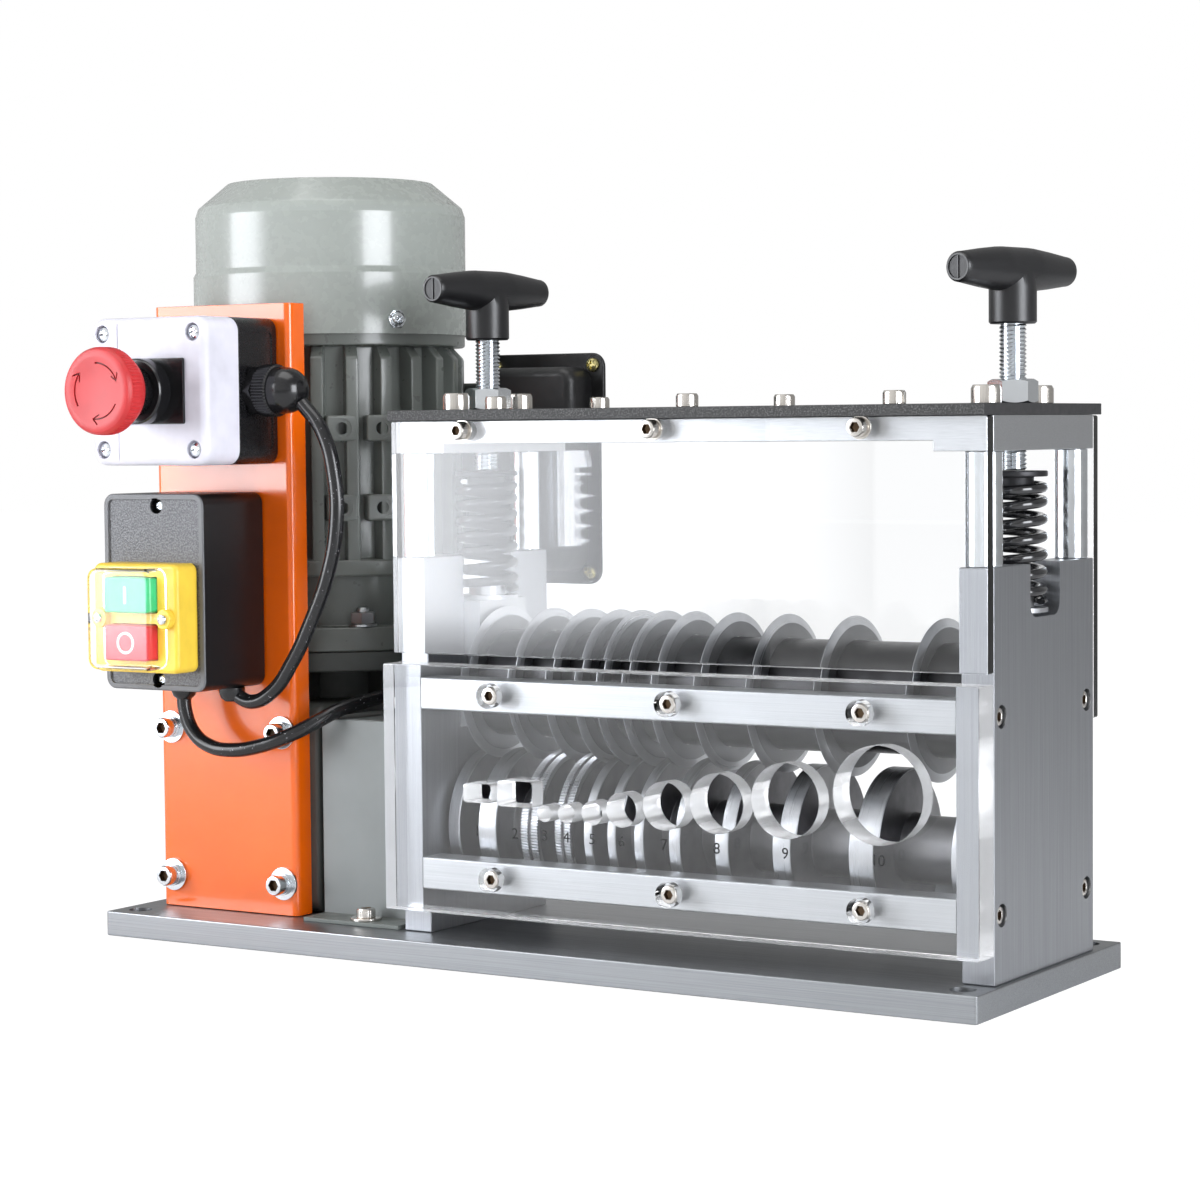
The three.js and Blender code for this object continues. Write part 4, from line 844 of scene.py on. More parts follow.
# Clear guide plate with its openings and counterbored screws
GUIDE_X = (-12.5, 81.8, 176.4)
GUIDE_SCREWS = [(x, z) for x in GUIDE_X for z in (126.1, 41.8)]
BLADE_X = [middle("blade_%02d" % (i + 1)).x for i in range(10)]
SLOTS = ((15.1, 8.7, 77.1), (18.9, 11.8, 76.3))  # width, height and floor
ROUND_OPENINGS = (7.7, 8.8, 10.8, 15.5, 21.6, 26.6, 32.9, 42.5)
OPENING_FLOOR = 70.5
COUNTERBORE = 11.4
COUNTERBORE_DEPTH = 6.5
GUIDE_SCREW_HOLE = 5.4
GUIDE_SHANK = 4.8
low, high = span("guide_plate")
through = past(low.y, high.y)
cutters = [
    plain_slab(centred(x, w), (z, z + h), through, "y", 1.5, 5, 0.01)
    for x, (w, h, z) in zip(BLADE_X, SLOTS)
]
cutters += [
    rod(d, through, "y", (x, 0, OPENING_FLOOR + d / 2), 96)
    for x, d in zip(BLADE_X[2:], ROUND_OPENINGS)
]
floor_y = low.y + COUNTERBORE_DEPTH
for x, z in GUIDE_SCREWS:
    cutters.append(rod(COUNTERBORE, (low.y - CUT_PAST, floor_y), "y", (x, 0, z), 48))
    cutters.append(rod(GUIDE_SCREW_HOLE, (low.y + 1, through[1]), "y", (x, 0, z), 32))
guide = combined(filling("guide_plate", "y", 0.7, (0.5, 0.5), 2, 2), cutters)


def is_cut_wall(centre, normal):
    """Whether a face of the guide plate is sawn or bored, away from its screws."""
    screws = (math.hypot(centre.x - x, centre.z - z) < COUNTERBORE for x, z in GUIDE_SCREWS)
    return abs(normal.y) < 0.3 and not any(screws)


stand_in("guide_plate", painted_where(guide, 1, is_cut_wall), ("acrylic", "cut_acrylic"))
places = [(x, floor_y, z) for x, z in GUIDE_SCREWS]
fasteners("guide_plate_screws", socket_screw(*M5), FRONT, places)
shank = rod(GUIDE_SHANK, (0, high.y - floor_y), "z", sides=32)
fasteners("guide_plate_shanks", shank, BACK, places, "nickel")

# Clear covers and their screws
for node in ("upper_cover", "rear_cover"):
    stand_in(node, from_cad(node), "acrylic")
low = span("upper_cover")[0]
screw = gathered(washer(10.5, 5.4, 1), raised(socket_screw(*M5), 1))
fasteners("upper_cover_screws", screw, FRONT, [(x, low.y, 246.9) for x in (-30, 71.5, 174)])
high = span("rear_cover")[1]
places = [(x, high.y, z) for x in GUIDE_X for z in (125.2, 246.2)]
fasteners("rear_cover_screws", socket_screw(*M5), BACK, places)

# Channel numbers under the openings
NUMBER_Z = 62
for i, x in enumerate(BLADE_X):
    text = bpy.data.curves.new("number", "FONT")
    text.body = str(i + 1)
    text.size = 7 * MM
    text.align_x = "CENTER"
    text.extrude = 0.1 * MM
    text.resolution_u = 3
    text.materials.append(finishes["print"].material)
    mark = as_object("channel_number_%02d" % (i + 1), text)
    place = Vector((x, span("guide_plate")[0].y, NUMBER_Z)) * MM
    mark.matrix_world = Matrix.Translation(place) @ Matrix.Rotation(math.pi / 2, 4, "X")
    enrolled(mark, slot="black_moulding")

for node in ("bearing_block_right", "bearing_block_left"):
    stand_in(node, from_cad(node), "machined")

# Springs with their caps, the pressure screws, nuts and T-handles
SPRING_WIRE = 4.4
SPRING_DIAMETER = 30
SPRING_COILS = 7.5
SPRING_END_PITCH = 4.7
LOWER_COILS = 5
WIRE_SIDES = 14
STEPS_A_COIL = 40
SCREW_PITCH = 1.75
HANDLE_TURN = {"right": -12, "left": -7}
HALF_BAR = 39
BAR_BELOW_TOP = 9.5


def spring_height(coil, pitch):
    """Height of the wire's middle above its start after so many coils."""
    closed = min(coil, 1) + max(coil - SPRING_COILS + 1, 0)
    return closed * SPRING_END_PITCH + (coil - closed) * pitch


def spring(centre, bottom, pitch, start, end):
    """The stretch of one wire between two counts of coils, closed at both of its ends."""
    radius = (SPRING_DIAMETER - SPRING_WIRE) / 2
    steps = int((end - start) * STEPS_A_COIL)
    rings = []
    for i in range(steps + 1):
        coil = start + (end - start) * i / steps
        z = bottom + SPRING_WIRE / 2 + spring_height(coil, pitch)
        angle = 2 * math.pi * coil
        outward = Vector((math.cos(angle), math.sin(angle), 0))
        taper = min(1, 0.55 + 3 * min(coil, SPRING_COILS - coil))
        ring = []
        for k in range(WIRE_SIDES):
            turn = 2 * math.pi * k / WIRE_SIDES
            offset = outward * math.cos(turn) + Vector((0, 0, 1)) * math.sin(turn) * taper
            point = Vector(centre) + outward * radius + offset * SPRING_WIRE / 2 + Vector((0, 0, z))
            ring.append(point)
        rings.append(ring)
    return skinned(rings)


def t_handle(low, high):
    """A bar with a screw-slotted plug in each end, on a bored boss."""
    bar_z = high - BAR_BELOW_TOP
    half = [
        (0, -HALF_BAR + 0.6), (4.9, -HALF_BAR + 0.6), (5, -HALF_BAR), (5.7, -HALF_BAR),
        (6.5, -HALF_BAR + 0.8), (6.7, -HALF_BAR + 3), (8.2, -24), (9.3, -13), (9.5, -9),
    ]  # fmt: skip
    profile = half + [(r, -p) for r, p in half[::-1]]
    bands = [1] + [0] * (len(profile) - 3) + [1]
    bar = turned(profile, "y", (0, 0, bar_z), 64, bands=bands)
    boss = [(0, low), (9.6, low), (10.35, low + 0.8), (10.35, low + 16), (9.4, bar_z - 1)]
    seams = []
    for sign in (-1, 1):
        ends = sorted((sign * HALF_BAR, sign * (HALF_BAR - 1.2)))
        seams.append(plain_slab(centred(0, 0.7), centred(bar_z, 9.6), ends, "y", 0.1, 1))
    handle = joined(bar, turned([*boss, (0, bar_z)], sides=64), *seams)
    return combined(handle, [rod(12.6, (low - CUT_PAST, low + 12), "z")])


for side, x in SCREW_X.items():
    axis = (x, SHAFT_Y, 0)
    node = "pressure_spring_" + side
    low, high = span(node)
    free = high.z - low.z - SPRING_WIRE
    pitch = (free - 2 * SPRING_END_PITCH) / (SPRING_COILS - 2)
    lower = stand_in(node, spring(axis, low.z, pitch, 0, LOWER_COILS), "spring", 60)
    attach(lower, "machine_frame")
    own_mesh(lower)
    form = spring(axis, low.z, pitch, LOWER_COILS, SPRING_COILS)
    upper = piece(node + "_upper", form, "spring", slot="black_spring", smooth=60)
    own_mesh(upper)

    node = "spring_cap_" + side
    low, high = span(node)
    step = high.z - 2.5
    profile = [(0, low.z), (9, low.z), (9, step), (15, step), (15, high.z), (0, high.z)]
    stand_in(node, turned(eased(profile), "z", axis), "black_steel")

    node = "pressure_screw_" + side
    low, high = span(node)
    stand_in(node, threaded(12, SCREW_PITCH, (low.z, high.z), axis), "zinc", 70)

    node = "screw_nut_" + side
    low, high = span(node)
    place = facing(UP, (x, SHAFT_Y, low.z), math.pi / 6)
    stand_in(node, repeated(hex_nut(19, high.z - low.z, 12.3), [place]), "zinc")

    node = "t_handle_" + side
    low, high = span(node)
    handle = swung(t_handle(low.z, high.z), axis, math.radians(HANDLE_TURN[side]))
    stand_in(node, handle, ("handle", "handle_end"), 40)

# Blade shaft and the ten cutting discs
DRUM = 25
DISC = 36
BEVEL = 4
HALF_DISC = 1.5
HALF_EDGE = 0.1
END_DISC_X = -44.3
JOURNAL = 7.5
COLLAR = 12


def disc_edge(x):
    """Profile of a disc's bevelled edge."""
    return [
        (DISC - BEVEL, x - HALF_DISC),
        (DISC, x - HALF_EDGE),
        (DISC, x + HALF_EDGE),
        (DISC - BEVEL, x + HALF_DISC),
    ]


low, high = span("blade_shaft")
profile = [
    (0, low.x),
    (JOURNAL, low.x),
    (JOURNAL, -46.2),
    (COLLAR, -46.2),
    (COLLAR, END_DISC_X - HALF_DISC),
    *disc_edge(END_DISC_X),
    (DRUM, END_DISC_X + HALF_DISC),
    (DRUM, 206),
    (COLLAR, 206),
    (COLLAR, 208.2),
    (JOURNAL, 208.2),
    (JOURNAL, high.x),
    (0, high.x),
]
shaft = turned(profile, "x", BLADE_AXIS, 128, bands=[0] * 4 + [1, 2, 2, 2, 1] + [0] * 6)
stand_in("blade_shaft", shaft, ("drum", "blade", "ground"))
for i, x in enumerate(BLADE_X):
    foot = DRUM + 0.3
    profile = [(foot, x - HALF_DISC), *disc_edge(x), (foot, x + HALF_DISC)]
    disc = turned(profile, "x", BLADE_AXIS, 128, closed=True, bands=[0, 1, 1, 1, 0, 0])
    stand_in("blade_%02d" % (i + 1), disc, ("blade", "ground"))

# Feed shaft: wheels between stepped grooves, two of them toothed
WHEEL = 35
WHEEL_SPANS = [
    (-53.3, -46.8), (-36.3, -26.3), (-12.5, -3.5), (6.3, 14.3), (21.9, 26.4), (34.5, 39),
    (48.7, 53.7), (66.95, 72.95), (90.8, 97.8), (120, 129), (157.65, 169.65), (206.5, 213),
]  # fmt: skip
FEED_JOURNAL = 9
# The shaft's radius before the first wheel, between two wheels and after the last
GROOVE_RADII = (FEED_JOURNAL, 15, 20, 20, 23, 22, 21, 18, 15, 15, 15, 15, FEED_JOURNAL)
TOOTHED = (2, 3)
TOOTH_COUNT = 150
TOOTH_DEPTH = 0.8
TOOTH_STEPS = 4
low, high = span("feed_shaft")
profile = [(0, low.x), (FEED_JOURNAL, low.x)]
for i, (start, end) in enumerate(WHEEL_SPANS):
    rim = WHEEL - 2 if i in TOOTHED else WHEEL
    profile += [(GROOVE_RADII[i], start), (rim, start), (rim, end), (GROOVE_RADII[i + 1], end)]
profile += [(FEED_JOURNAL, high.x), (0, high.x)]


def is_rim(centre, normal):
    radius = math.hypot(centre.y - FEED_AXIS[1], centre.z - FEED_AXIS[2])
    return radius > WHEEL - 1.2 and abs(normal.x) < 0.9


feed = painted_where(turned(eased(profile, 0.6), "x", FEED_AXIS, 128), 1, is_rim)
stand_in("feed_shaft", feed, ("roller", "ground"))


def tooth_wall(angle):
    """Radius of a toothed rim: of four steps of the turn, two up and two down."""
    step = round(angle * TOOTH_STEPS * TOOTH_COUNT / (2 * math.pi))
    return WHEEL - TOOTH_DEPTH * (step % TOOTH_STEPS // 2)


rims = []
for i in TOOTHED:
    start, end = WHEEL_SPANS[i]
    width = (end - start - 2) / 2
    for a, b in ((start, start + width), (end - width, end)):
        shape = [(WHEEL - 3, a), (tooth_wall, a), (tooth_wall, b), (WHEEL - 3, b)]
        rims.append(turned(shape, "x", FEED_AXIS, TOOTH_STEPS * TOOTH_COUNT, closed=True))
rims = gathered(*rims)
piece("toothed_rims", rims, "ground", body="feed_drive", slot="roller_steel", smooth=20)

# Reducer: housing, neck, motor flange, output boss, bolt bosses and ribs
MOTOR = (-178, 38, 0)
HOUSING_FLOOR = 12.05
BOSS_X = (-215.45, -146.95)
BOSS_Z = (28, 101.6)
BOSSES = [(x, z) for x in BOSS_X for z in BOSS_Z]
forms = [
    slab((-36, 44), (HOUSING_FLOOR, 114), (-222, -134), "x", 8, (3, 3)),
    rod(78, (HOUSING_FLOOR, 130), "z", MOTOR, 96, 2),
    rod(140, (129, 138.95), "z", MOTOR, 128, 1.2),
    rod(62, (-137, -130), "x", FEED_AXIS, 96, 1),
    *(rod(8, (-45.45, -30), "y", (x, 0, z), 32) for x, z in BOSSES),
]
for k in range(8):
    rib = plain_slab((36, 60), (-3, 3), (112, 130), "z", 1, 2, 0.3)
    forms.append(swung(rib, MOTOR, math.radians(45 * k + 20)))
reducer = combined(joined(*forms), [rod(18.6, (-160, -128), "x", FEED_AXIS)])
stand_in("gear_reducer", reducer, "casting")

# Motor frame with its fins, lugs and terminal arm
FIN_COUNT = 24
FIN = [(55, 183), (67, 183), (67, 283), (61, 289.5), (55, 289.5)]
LUG_BEARING = -41
LUG_OFFSET = 10.1
FLANGE_BOLTS = [LUG_BEARING + 90 * k for k in range(4)]
CORE = [
    (0, 139), (70, 139), (70, 151), (60, 151), (60, 176), (67.6, 176), (67.6, 184), (58, 184),
    (58, 289), (67.6, 289), (67.6, 311), (0, 311),
]  # fmt: skip
motor_forms = [turned(eased(CORE, 1.0), "z", MOTOR, 144)]
for k in range(FIN_COUNT):
    fin = softened(prism(FIN, (-3.25, 3.25), "y"), 1.1, 2, 20)
    motor_forms.append(swung(fin, MOTOR, 2 * math.pi * k / FIN_COUNT))
for bearing in FLANGE_BOLTS:
    for rise in (203, 242):
        for at in (-LUG_OFFSET, LUG_OFFSET):
            sides = (centred(at, 15.5), (rise, rise + 13))
            lug = slab(*sides, (45, 67.2), "x", 1.6, (1, 1.2), 3, 3)
            hole, seat = (
                rod(d, (start, 70), "x", (0, at, rise + 6.5), 40)
                for d, start in ((6.2, 60.5), (9.6, 66.6))
            )
            motor_forms.append(swung(combined(lug, [hole, seat]), MOTOR, math.radians(bearing)))
motor_forms.append(slab((-178, -55.8), (184, 271.1), (83.25, 94.25), "y", 3, (1.5, 1.5), 3, 3))
motor = combined(joined(*motor_forms), [rod(14.2, (287, 313), "z", MOTOR)])
# The frame takes the darker copy of the cowl's paint, as painted shade among its fins.
stand_in("motor_frame", motor, "motor", 40)


def about_motor(bearing, radius, z, direction=UP):
    """A place about the motor's axis, and the direction turned with it."""
    turn = Matrix.Rotation(math.radians(bearing), 3, "Z")
    at = Vector(MOTOR) + turn @ Vector((radius, 0, 0)) + Vector((0, 0, z))
    return facing(turn @ Vector(direction), at)


nut = gathered(
    washer(14, 6.4, 1.2),
    raised(hex_nut(11, 6, 6.2), 1.2),
    rod(6, (0, 9.5), "z", sides=32, edge=0.8),
)
places = [about_motor(b, 63.2, 151) for b in FLANGE_BOLTS]
piece("flange_nuts", repeated(nut, places), "bolt")

# Fan cowl with radial slots, its screws and the fan behind it
COWL_SLOTS = 12
COWL = [
    (68.2, 294.8), (69.6, 294.8), (69.6, 324.4), (69.6, 325.2), (68.3, 327.6), (68.3, 328.4),
    (68.3, 354.2), (68.3, 355), (66.8, 359.5), (66, 360.2), (52, 372), (0, 372),
    (0, 370.6), (51.3, 370.6), (65.6, 358.6), (66.9, 354.6), (66.9, 327.2), (68.2, 324.8),
]  # fmt: skip
slots = []
for k in range(COWL_SLOTS):
    slot = plain_slab((17, 44), (-3, 3), (366, 376), "z", 2.9, 6)
    slots.append(swung(slot, MOTOR, 2 * math.pi * k / COWL_SLOTS))
cowl = combined(turned(COWL, "z", MOTOR, 160, closed=True), slots)
stand_in("fan_cowl", softened(cowl, 0.5, 3, 40), "cowl", 40)
screw = gathered(raised(cross_screw(6.4, 2.6), 1.6), hex_nut(8.6, 1.8))
places = [about_motor(b, 69.4, 301.8, RIGHT) for b in (-26.4, 63.6, 153.6, 243.6)]
piece("cowl_screws", repeated(screw, places), "zinc")
stand_in("motor_fan", from_cad("motor_fan", 0.4), "fan")

# Terminal box
BACK_PLATE = 2.7
SCREW_INSET = 6
low, high = span("terminal_box")
plate_y = high.y - BACK_PLATE
back = filling("terminal_box", "y", 7, (0.8, 0.8), 8, ends=(plate_y, high.y))
dome = filling("terminal_box", "y", 8, (5, 0.2), 8, 6, inset=7, ends=(low.y, high.y - 1))
stand_in("terminal_box", joined(back, dome), "gloss_black", 40)
places = [
    (x, plate_y, z)
    for x in (low.x + SCREW_INSET, high.x - SCREW_INSET)
    for z in (low.z + SCREW_INSET, high.z - SCREW_INSET)
]
fasteners("terminal_screws", cross_screw(7, 2.4), FRONT, places, "yellow_zinc")

# Sheet guard over the shaft
FOOT_TOP = 14.1
guard = painted_where(from_cad("reducer_cover", 0.4), 1, lambda c, n: c.z < FOOT_TOP + 0.4)
stand_in("reducer_cover", guard, ("guard", "guard_foot"))
screw = gathered(raised(socket_screw(9, 4.5, 4.5), 1.2), washer(15, 6, 1.2))
fasteners("guard_foot_screw", screw, UP, [(-98, -48, FOOT_TOP)])

# Orange bracket: a web with a folded flange down each side
SHEET = 2.5
BEND = 3.4
INNER_BEND = BEND - SHEET + 0.5


def bend(x, y, radius, start, sign):
    """A quarter turn of the sheet about a centre, in eight steps."""
    angles = [math.radians(start + sign * 90 * i / 8) for i in range(9)]
    return [(x + radius * math.cos(a), y + radius * math.sin(a)) for a in angles]


low, high = span("control_bracket")
left, right, front = low.x + SHEET, high.x - SHEET, low.y + SHEET
channel = [
    (low.x, high.y),
    *bend(low.x + BEND, low.y + BEND, BEND, 180, 1),
    *bend(high.x - BEND, low.y + BEND, BEND, 270, 1),
    (high.x, high.y),
    (right, high.y),
    *bend(right - INNER_BEND, front + INNER_BEND, INNER_BEND, 0, -1),
    *bend(left + INNER_BEND, front + INNER_BEND, INNER_BEND, 270, -1),
    (left, high.y),
]
bracket = softened(prism(channel, (low.z, high.z), "z"), 0.5, 2, 50)
stand_in("control_bracket", bracket, "orange", 40)
bolt = gathered(
    washer(16, 6.4, 1.4), raised(washer(11, 6.4, 1.6), 1.4), raised(socket_screw(*M6), 3)
)
places = [(x, low.y, z) for x, z in BOSSES]
fasteners("bracket_bolts", bolt, FRONT, places, ("zinc", "recess"))

# Emergency stop station
STATION = (-181.2, 0, 266.7)
SCREW_OFFSET = 27.5
WELL_DEPTH = 3
STATION_SCREWS = [
    (STATION[0] + a * SCREW_OFFSET, STATION[2] + b * SCREW_OFFSET) for a in (-1, 1) for b in (-1, 1)
]
LEGEND = 1.5
STEM_SOCKET = 22.6
STEM_SOCKET_DEPTH = 9
low, high = span("estop_box")
sides = ((low.y + 5, high.y - 4), (low.z + 7, high.z - 7))
panel = slab(*sides, (high.x - 0.6, high.x + 2), "x", 2.5, (0.3, 0.3), 4, 2)
box_form = combined(filling("estop_box", "y", 6, (0.3, 1.2), 8), [panel])
stand_in("estop_box", box_form, "station_box")

low, high = span("estop_cover")
seat = low.y + WELL_DEPTH
cutters = [rod(8.6, (low.y - 1, seat), "y", (x, 0, z), 48) for x, z in STATION_SCREWS]
sides = ((low.x + 16.6, low.x + 17.2), (low.z - 1, high.z + 1))
cutters.append(plain_slab(*sides, (low.y - 1, low.y + 0.4), "y", 0.1, 1))
cover = combined(filling("estop_cover", "y", 7, (4, 0.3), 10, 8), cutters)
stand_in("estop_cover", cover, "station_cover", 30)
places = [(x, seat, z) for x, z in STATION_SCREWS]
fasteners("station_screws", cross_screw(7.4, 2.6), FRONT, places, "zinc", 0.3)

low, high = span("estop_collar")
sides = (centred(STATION[0], 45.5), centred(STATION[2], 31))
legend = slab(*sides, (high.y - LEGEND, high.y), "y", 1, (0.3, 0.1), 3, 2)
socket = rod(STEM_SOCKET, (low.y, low.y + STEM_SOCKET_DEPTH), "y", STATION, 96)
bore = STEM_SOCKET / 2
profile = [
    (bore, low.y + STEM_SOCKET_DEPTH),
    (bore, low.y),
    (14.9, low.y),
    (15.5, low.y + 1.2),
    (15.5, high.y - 0.6),
    (bore, high.y - 0.6),
]
collar = turned(eased(profile, 0.3), "y", STATION, closed=True)
stand_in("estop_collar", gathered(combined(legend, [socket]), collar), "legend")
low, high = span("estop_stem")
stand_in("estop_stem", rod(22, (low.y, high.y), "y", STATION, 96, 0.4), "station_box")

# Mushroom with three arrows cut into its face
ARROW_RADIUS = 13
ARROW_DEPTH = 1.5
BARB_DEPTH = 1.4
low, high = span("estop_head")
grip = fluted(20.5, 0.22, 72)
profile = [
    (0, low.y + 1.5),
    (6, low.y + 1.35),
    (11, low.y + 0.9),
    (15.5, low.y + 0.15),
    (17.5, low.y),
    (19.2, low.y + 0.6),
    (20.1, low.y + 1.8),
    (20.4, low.y + 3),
    (grip, low.y + 3.4),
    (grip, low.y + 9.4),
    (20.2, low.y + 9.9),
    (19, low.y + 10.6),
    (18.2, low.y + 13.5),
    (17.4, high.y),
    (bore, high.y),
    (bore, high.y - 5),
    (0, high.y - 5),
]


def face_cutter(outline, depth):
    """A cutter for the mushroom's face, from an outline about its middle."""
    points = [(STATION[0] + u, STATION[2] + v) for u, v in outline]
    return prism(points, (low.y - 1, low.y + depth), "y")


def is_groove(centre, normal):
    radius = math.hypot(centre.x - STATION[0], centre.z - STATION[2])
    return 9.5 < radius < 17 and low.y + 1.36 < centre.y < low.y + 1.52


arrows = []
for k in range(3):
    start, sweep = math.radians(120 * k + 22), math.radians(70)
    arc = [start + sweep * i / 14 for i in range(15)]
    line = [(13.4 * math.cos(a), 13.4 * math.sin(a)) for a in arc]
    line += [(12.6 * math.cos(a), 12.6 * math.sin(a)) for a in arc[::-1]]
    tip = Vector((ARROW_RADIUS * math.cos(start), ARROW_RADIUS * math.sin(start)))
    along = Vector((-math.sin(start), math.cos(start)))
    out = Vector((math.cos(start), math.sin(start)))
    barb = [
        tip - along * 0.9,
        tip + along * 2.6 + out * 2.6,
        tip + along * 3.2 + out * 2.1,
        tip + along * 0.2,
        tip + along * 3.2 - out * 2.1,
        tip + along * 2.6 - out * 2.6,
    ]
    arrows += [face_cutter(line, ARROW_DEPTH), face_cutter(barb, BARB_DEPTH)]
mushroom = combined(turned(profile, "y", STATION, 288), arrows)
# The floors of the cut arrows take the darker red: painted shade.
stand_in("estop_head", painted_where(mushroom, 1, is_groove), ("mushroom", "groove"), 28)

# Cable gland beside the station: hexagon, ribbed nut and domed end
GLAND = (0, -64, 266.7)
low, high = span("estop_gland")
hex_end, nut_end = low.x + 4.5, low.x + 13
hex_wall, ribs = hexagon(22.5), fluted(12.5, 0.3, 48)
hex_part = [(0, low.x), (hex_wall, low.x), (hex_wall, hex_end), (0, hex_end)]
ribbed = [(0, hex_end), (11.4, hex_end), (ribs, low.x + 5.2), (ribs, nut_end - 0.8)]
ribbed += [(11.5, nut_end), (0, nut_end)]
dome = [(0, nut_end - 0.5), (11, nut_end - 0.5)]
for degrees in range(0, 71, 7):
    a = math.radians(degrees)
    dome.append((11 * math.cos(a), nut_end + 4 + 11 * math.sin(a)))
dome.append((0, high.x))
parts = [
    turned(shape, "x", GLAND, sides) for shape, sides in ((hex_part, 96), (ribbed, 288), (dome, 96))
]
stand_in("estop_gland", gathered(*parts), "gland")

# Switch box: dark speckled front with a smooth rim
SWITCH_X = -186.5
SWITCH_SCREWS = [(SWITCH_X + 1.5, 212.4), (SWITCH_X + 1.5, 129.3)]
SWITCH_WELL = 5
low, high = span("switch_box")
seat = low.y + SWITCH_WELL
ends = (low.y - CUT_PAST, low.y + 1)
cutters = [filling("switch_box", "y", 3, (0.05, 0.4), 6, 2, inset=2.6, ends=ends)]
cutters += [rod(7.6, (low.y - CUT_PAST, seat), "y", (x, 0, z), 48) for x, z in SWITCH_SCREWS]
shell = combined(filling("switch_box", "y", 5.5, (0.8, 1.5), 8), cutters)
painted_where(shell, 1, lambda c, n: c.y < low.y + 1.6)
painted_where(shell, 2, lambda c, n: n.y < -0.9 and low.y + 0.8 < c.y < low.y + 1.2)
stand_in("switch_box", shell, ("switch_side", "switch_rim", "switch_plate"))
places = [(x, seat, z) for x, z in SWITCH_SCREWS]
fasteners("switch_screws", cross_screw(5.6, 2), FRONT, places, "zinc", 0.4)

# Boots where the leads enter the switch box
boot = [(6.3, 0), (6.3, -2.5), (5.4, -5), (3.6, -6.6), (0, -7)]
boot = [(0, low.z), *((r, low.z + drop) for r, drop in boot)]
boots = [
    turned(boot, "z", (x, -65, 0), 48) for x in (STOP_LEAD[-1][0] - 1.5, MOTOR_LEAD[0][0])
]
piece("lead_boots", gathered(*boots), "gland", slot="black_moulding")

# Bezel with its ears, buttons and clear cover
EAR_X = (SWITCH_X - 19.5, SWITCH_X + 19.5)
EAR_Z = 159.6
COVER_WALL = 1.2
low, high = span("switch_bezel")
ear_front = low.y - 3.5
ears = [rod(9.5, (ear_front, low.y + 4), "y", (x, 0, EAR_Z), 64, 0.6) for x in EAR_X]
windows = [
    filling(node, "y", 0.6, (0.05, 0.05), 2, 1, inset=-0.4, ends=past(low.y, high.y))
    for node in ("start_button", "stop_button")
]
bezel = joined(filling("switch_bezel", "y", 4, (2.2, 0.3), 8, 5), *ears)
stand_in("switch_bezel", combined(bezel, windows), "yellow")
places = [(x, ear_front, EAR_Z) for x in EAR_X]
fasteners("ear_screws", cross_screw(5.4, 1.8), FRONT, places, "zinc", 0.2)
for node, look in (("start_button", "green"), ("stop_button", "red")):
    stand_in(node, filling(node, "y", 1.5, (0.8, 0.4), 5), look)


def key_face(node):
    """The middle of a key's face, and the front and back of a mark on it."""
    low, high = span(node)
    return (low.x + high.x) / 2, (low.z + high.z) / 2, (low.y - 0.12, low.y + 0.3)


x, z, ends = key_face("start_button")
bar = plain_slab(centred(x, 1.4), centred(z, 8), ends, "y", 0.3, 2)
piece("start_symbol", bar, "symbol", body="start_key", slot="green_moulding")
x, z, (front, back) = key_face("stop_button")
profile = [(4.1, front), (5.2, front), (5.2, back), (4.1, back)]
ring = turned(profile, "y", (x, 0, z), 64, closed=True)
piece("stop_symbol", ring, "symbol", body="stop_key", slot="stop_moulding")

node = "switch_clear_cover"
low, high = span(node)
ends = (low.y + COVER_WALL, high.y + CUT_PAST)
hollow = filling(node, "y", 4, (1.6, 0.1), 8, 5, inset=COVER_WALL, ends=ends)
stand_in(node, combined(filling(node, "y", 5, (2.4, 0.1), 8, 6), [hollow]), "membrane")


# Floor, light and surroundings
def flat(name, half_u, half_v, level=0):
    """A level rectangle about the Z axis."""
    sheet = bmesh.new()
    corners = [(-1, -1), (1, -1), (1, 1), (-1, 1)]
    points = [Vector((a * half_u, b * half_v, level)) * MM for a, b in corners]
    sheet.faces.new([sheet.verts.new(point) for point in points])
    return as_mesh(sheet, name)


def seen_by_eye(tree, rays):
    """1 for the camera's own rays and for those that come through clear pieces."""
    kinds = (rays["Is Camera Ray"], rays["Is Transmission Ray"])
    return add_node(tree, "Math", *kinds, operation="MAXIMUM").outputs[0]


FLOOR_SIZE = 6000
FLOOR_LEVEL = -0.5
GLOW = 1.2
GLOW_SHARE = 0.8
ground = Finish("floor", (0.9, 0.9, 0.9), roughness=0.9)
glow = add_node(ground.tree, "Emission", Strength=GLOW)
seen = seen_by_eye(ground.tree, add_node(ground.tree, "LightPath").outputs)
share = add_node(ground.tree, "Math", seen, GLOW_SHARE, operation="MULTIPLY")
ground.mixed_with(glow, share.outputs[0])
mesh = flat("floor", FLOOR_SIZE, FLOOR_SIZE, FLOOR_LEVEL)
mesh.materials.append(ground.material)
as_object("floor", mesh)

# World: white to the camera, and for reflections brighter at the photograph's left front
BRIGHT_SIDE = (-0.53, -0.84, 0.1)
AMBIENT = 0.3
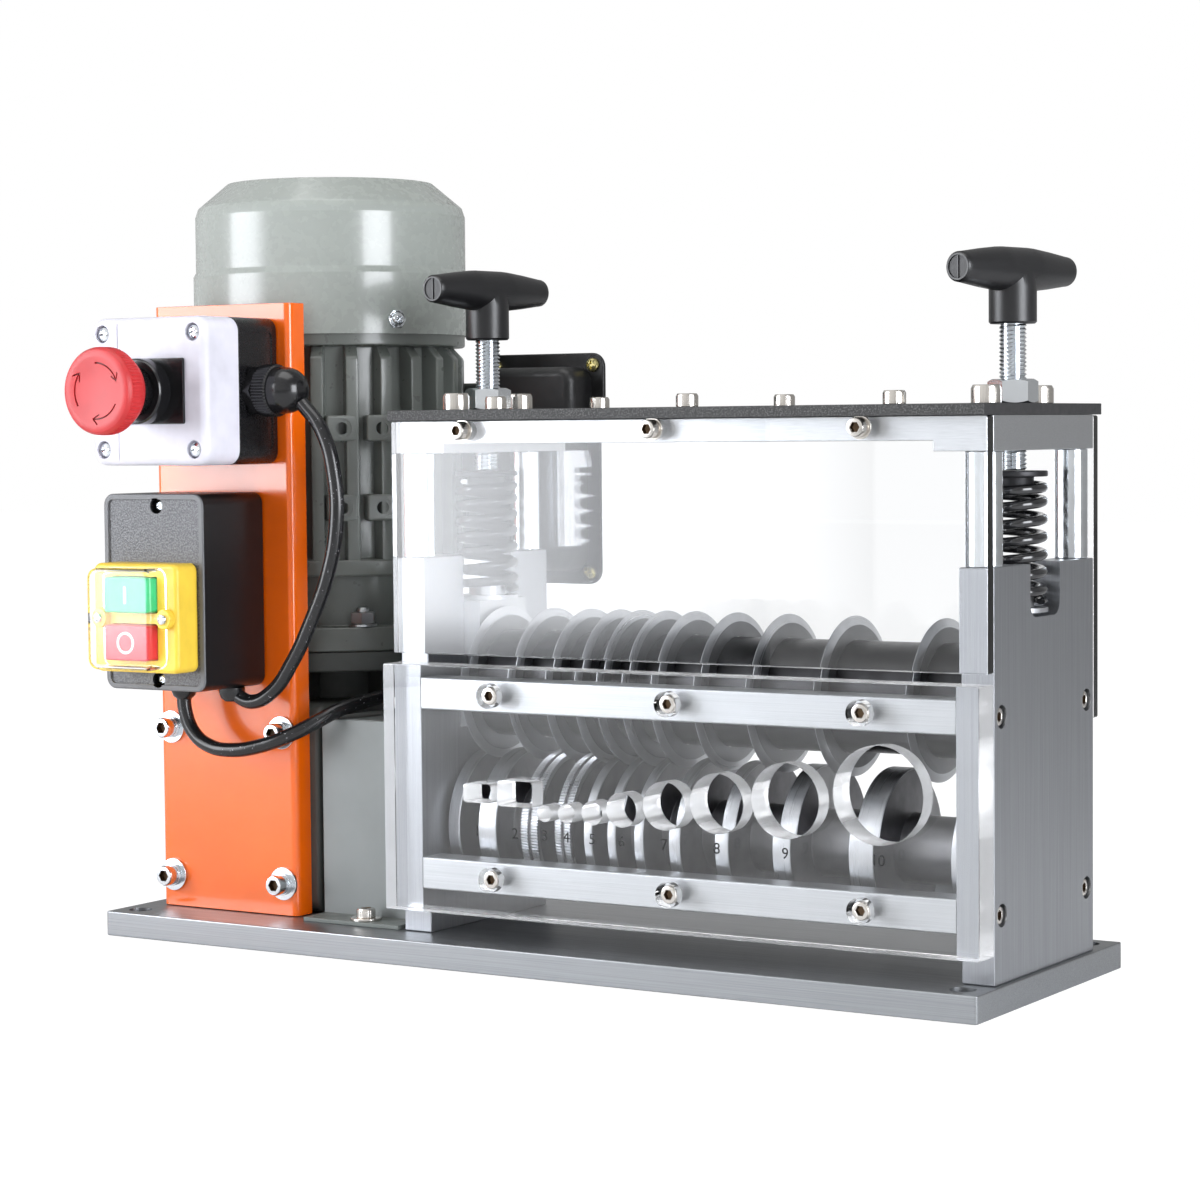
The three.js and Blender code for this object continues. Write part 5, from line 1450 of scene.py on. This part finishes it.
# The sky goes from its low to its high level between two cosines to the bright side
SKY_COSINES = (-0.4, 0.95)
SKY_LEVELS = (0.4, 1.0)
world = bpy.data.worlds.new("studio")
scene.world = world
world.use_nodes = True
tree = world.node_tree
sky = tree.nodes["Background"]
sky.inputs["Color"].default_value = (1, 1, 1, 1)
rays = add_node(tree, "LightPath").outputs
direction = add_node(tree, "TexCoord").outputs["Generated"]
toward = add_node(tree, "VectorMath", direction, BRIGHT_SIDE, operation="DOT_PRODUCT")
cosine = toward.outputs["Value"]
gradient = add_node(
    tree, "MapRange", cosine, *SKY_COSINES, *SKY_LEVELS, interpolation_type="SMOOTHSTEP"
).outputs["Result"]
ambient = add_node(tree, "Mix", rays["Is Glossy Ray"], A=AMBIENT, B=gradient).outputs["Result"]
backdrop = add_node(tree, "Mix", seen_by_eye(tree, rays), A=ambient, B=1.0)
tree.links.new(backdrop.outputs["Result"], sky.inputs["Strength"])

TARGET = Vector((0, 0, 180)) * MM
PANEL_COLOR = (0.93, 0.955, 1.0, 1)


def softbox(name, bearing, distance, height, size, strength, fades):
    """A lit panel aimed at the machine, seen only as light and in reflections.

    bearing is degrees to the right of the front, and fades says over what width the
    light falls off at the left, right and upper and lower edges.
    """
    turn = math.radians(bearing)
    place = Vector((math.sin(turn) * distance, -math.cos(turn) * distance, height)) * MM
    u, v = Vector(size) / 2
    material = bpy.data.materials.new(name)
    material.use_nodes = True
    tree = material.node_tree
    tree.nodes.clear()
    place_on_panel = add_node(tree, "TexCoord").outputs["Object"]
    axes = add_node(tree, "SeparateXYZ", place_on_panel).outputs
    left, right, ends = fades
    level = strength
    for axis, edge, fade in (
        ("X", -u, left), ("X", u, -right), ("Y", -v, ends), ("Y", v, -ends)
    ):  # fmt: skip
        ramp = add_node(tree, "MapRange", axes[axis], edge * MM, (edge + fade) * MM)
        lit = add_node(tree, "Math", ramp.outputs["Result"], level, operation="MULTIPLY")
        level = lit.outputs[0]
    light = add_node(tree, "Emission", PANEL_COLOR, level)
    add_node(tree, "OutputMaterial", light.outputs["Emission"])
    mesh = flat(name, u, v)
    mesh.materials.append(material)
    obj = as_object(name, mesh)
    aim = (TARGET - place) * Vector((1, 1, 0))
    obj.matrix_world = Matrix.Translation(place) @ aim.to_track_quat("-Z", "Y").to_matrix().to_4x4()
    obj.visible_camera = False


softbox("left_softbox", -42.7, 1440, 500, (1000, 960), 9.5, (120, 340, 60))
softbox("right_softbox", 75, 1500, 520, (800, 1000), 12, (80, 80, 60))

overhead = bpy.data.lights.new("overhead", "AREA")
overhead.shape = "RECTANGLE"
overhead.size, overhead.size_y = 1.2, 0.9
overhead.energy = 9
top_light = as_object("overhead", overhead)
top_light.matrix_world = Matrix.Translation(Vector((0, -300, 1600)) * MM)

scene.view_settings.view_transform = "Standard"
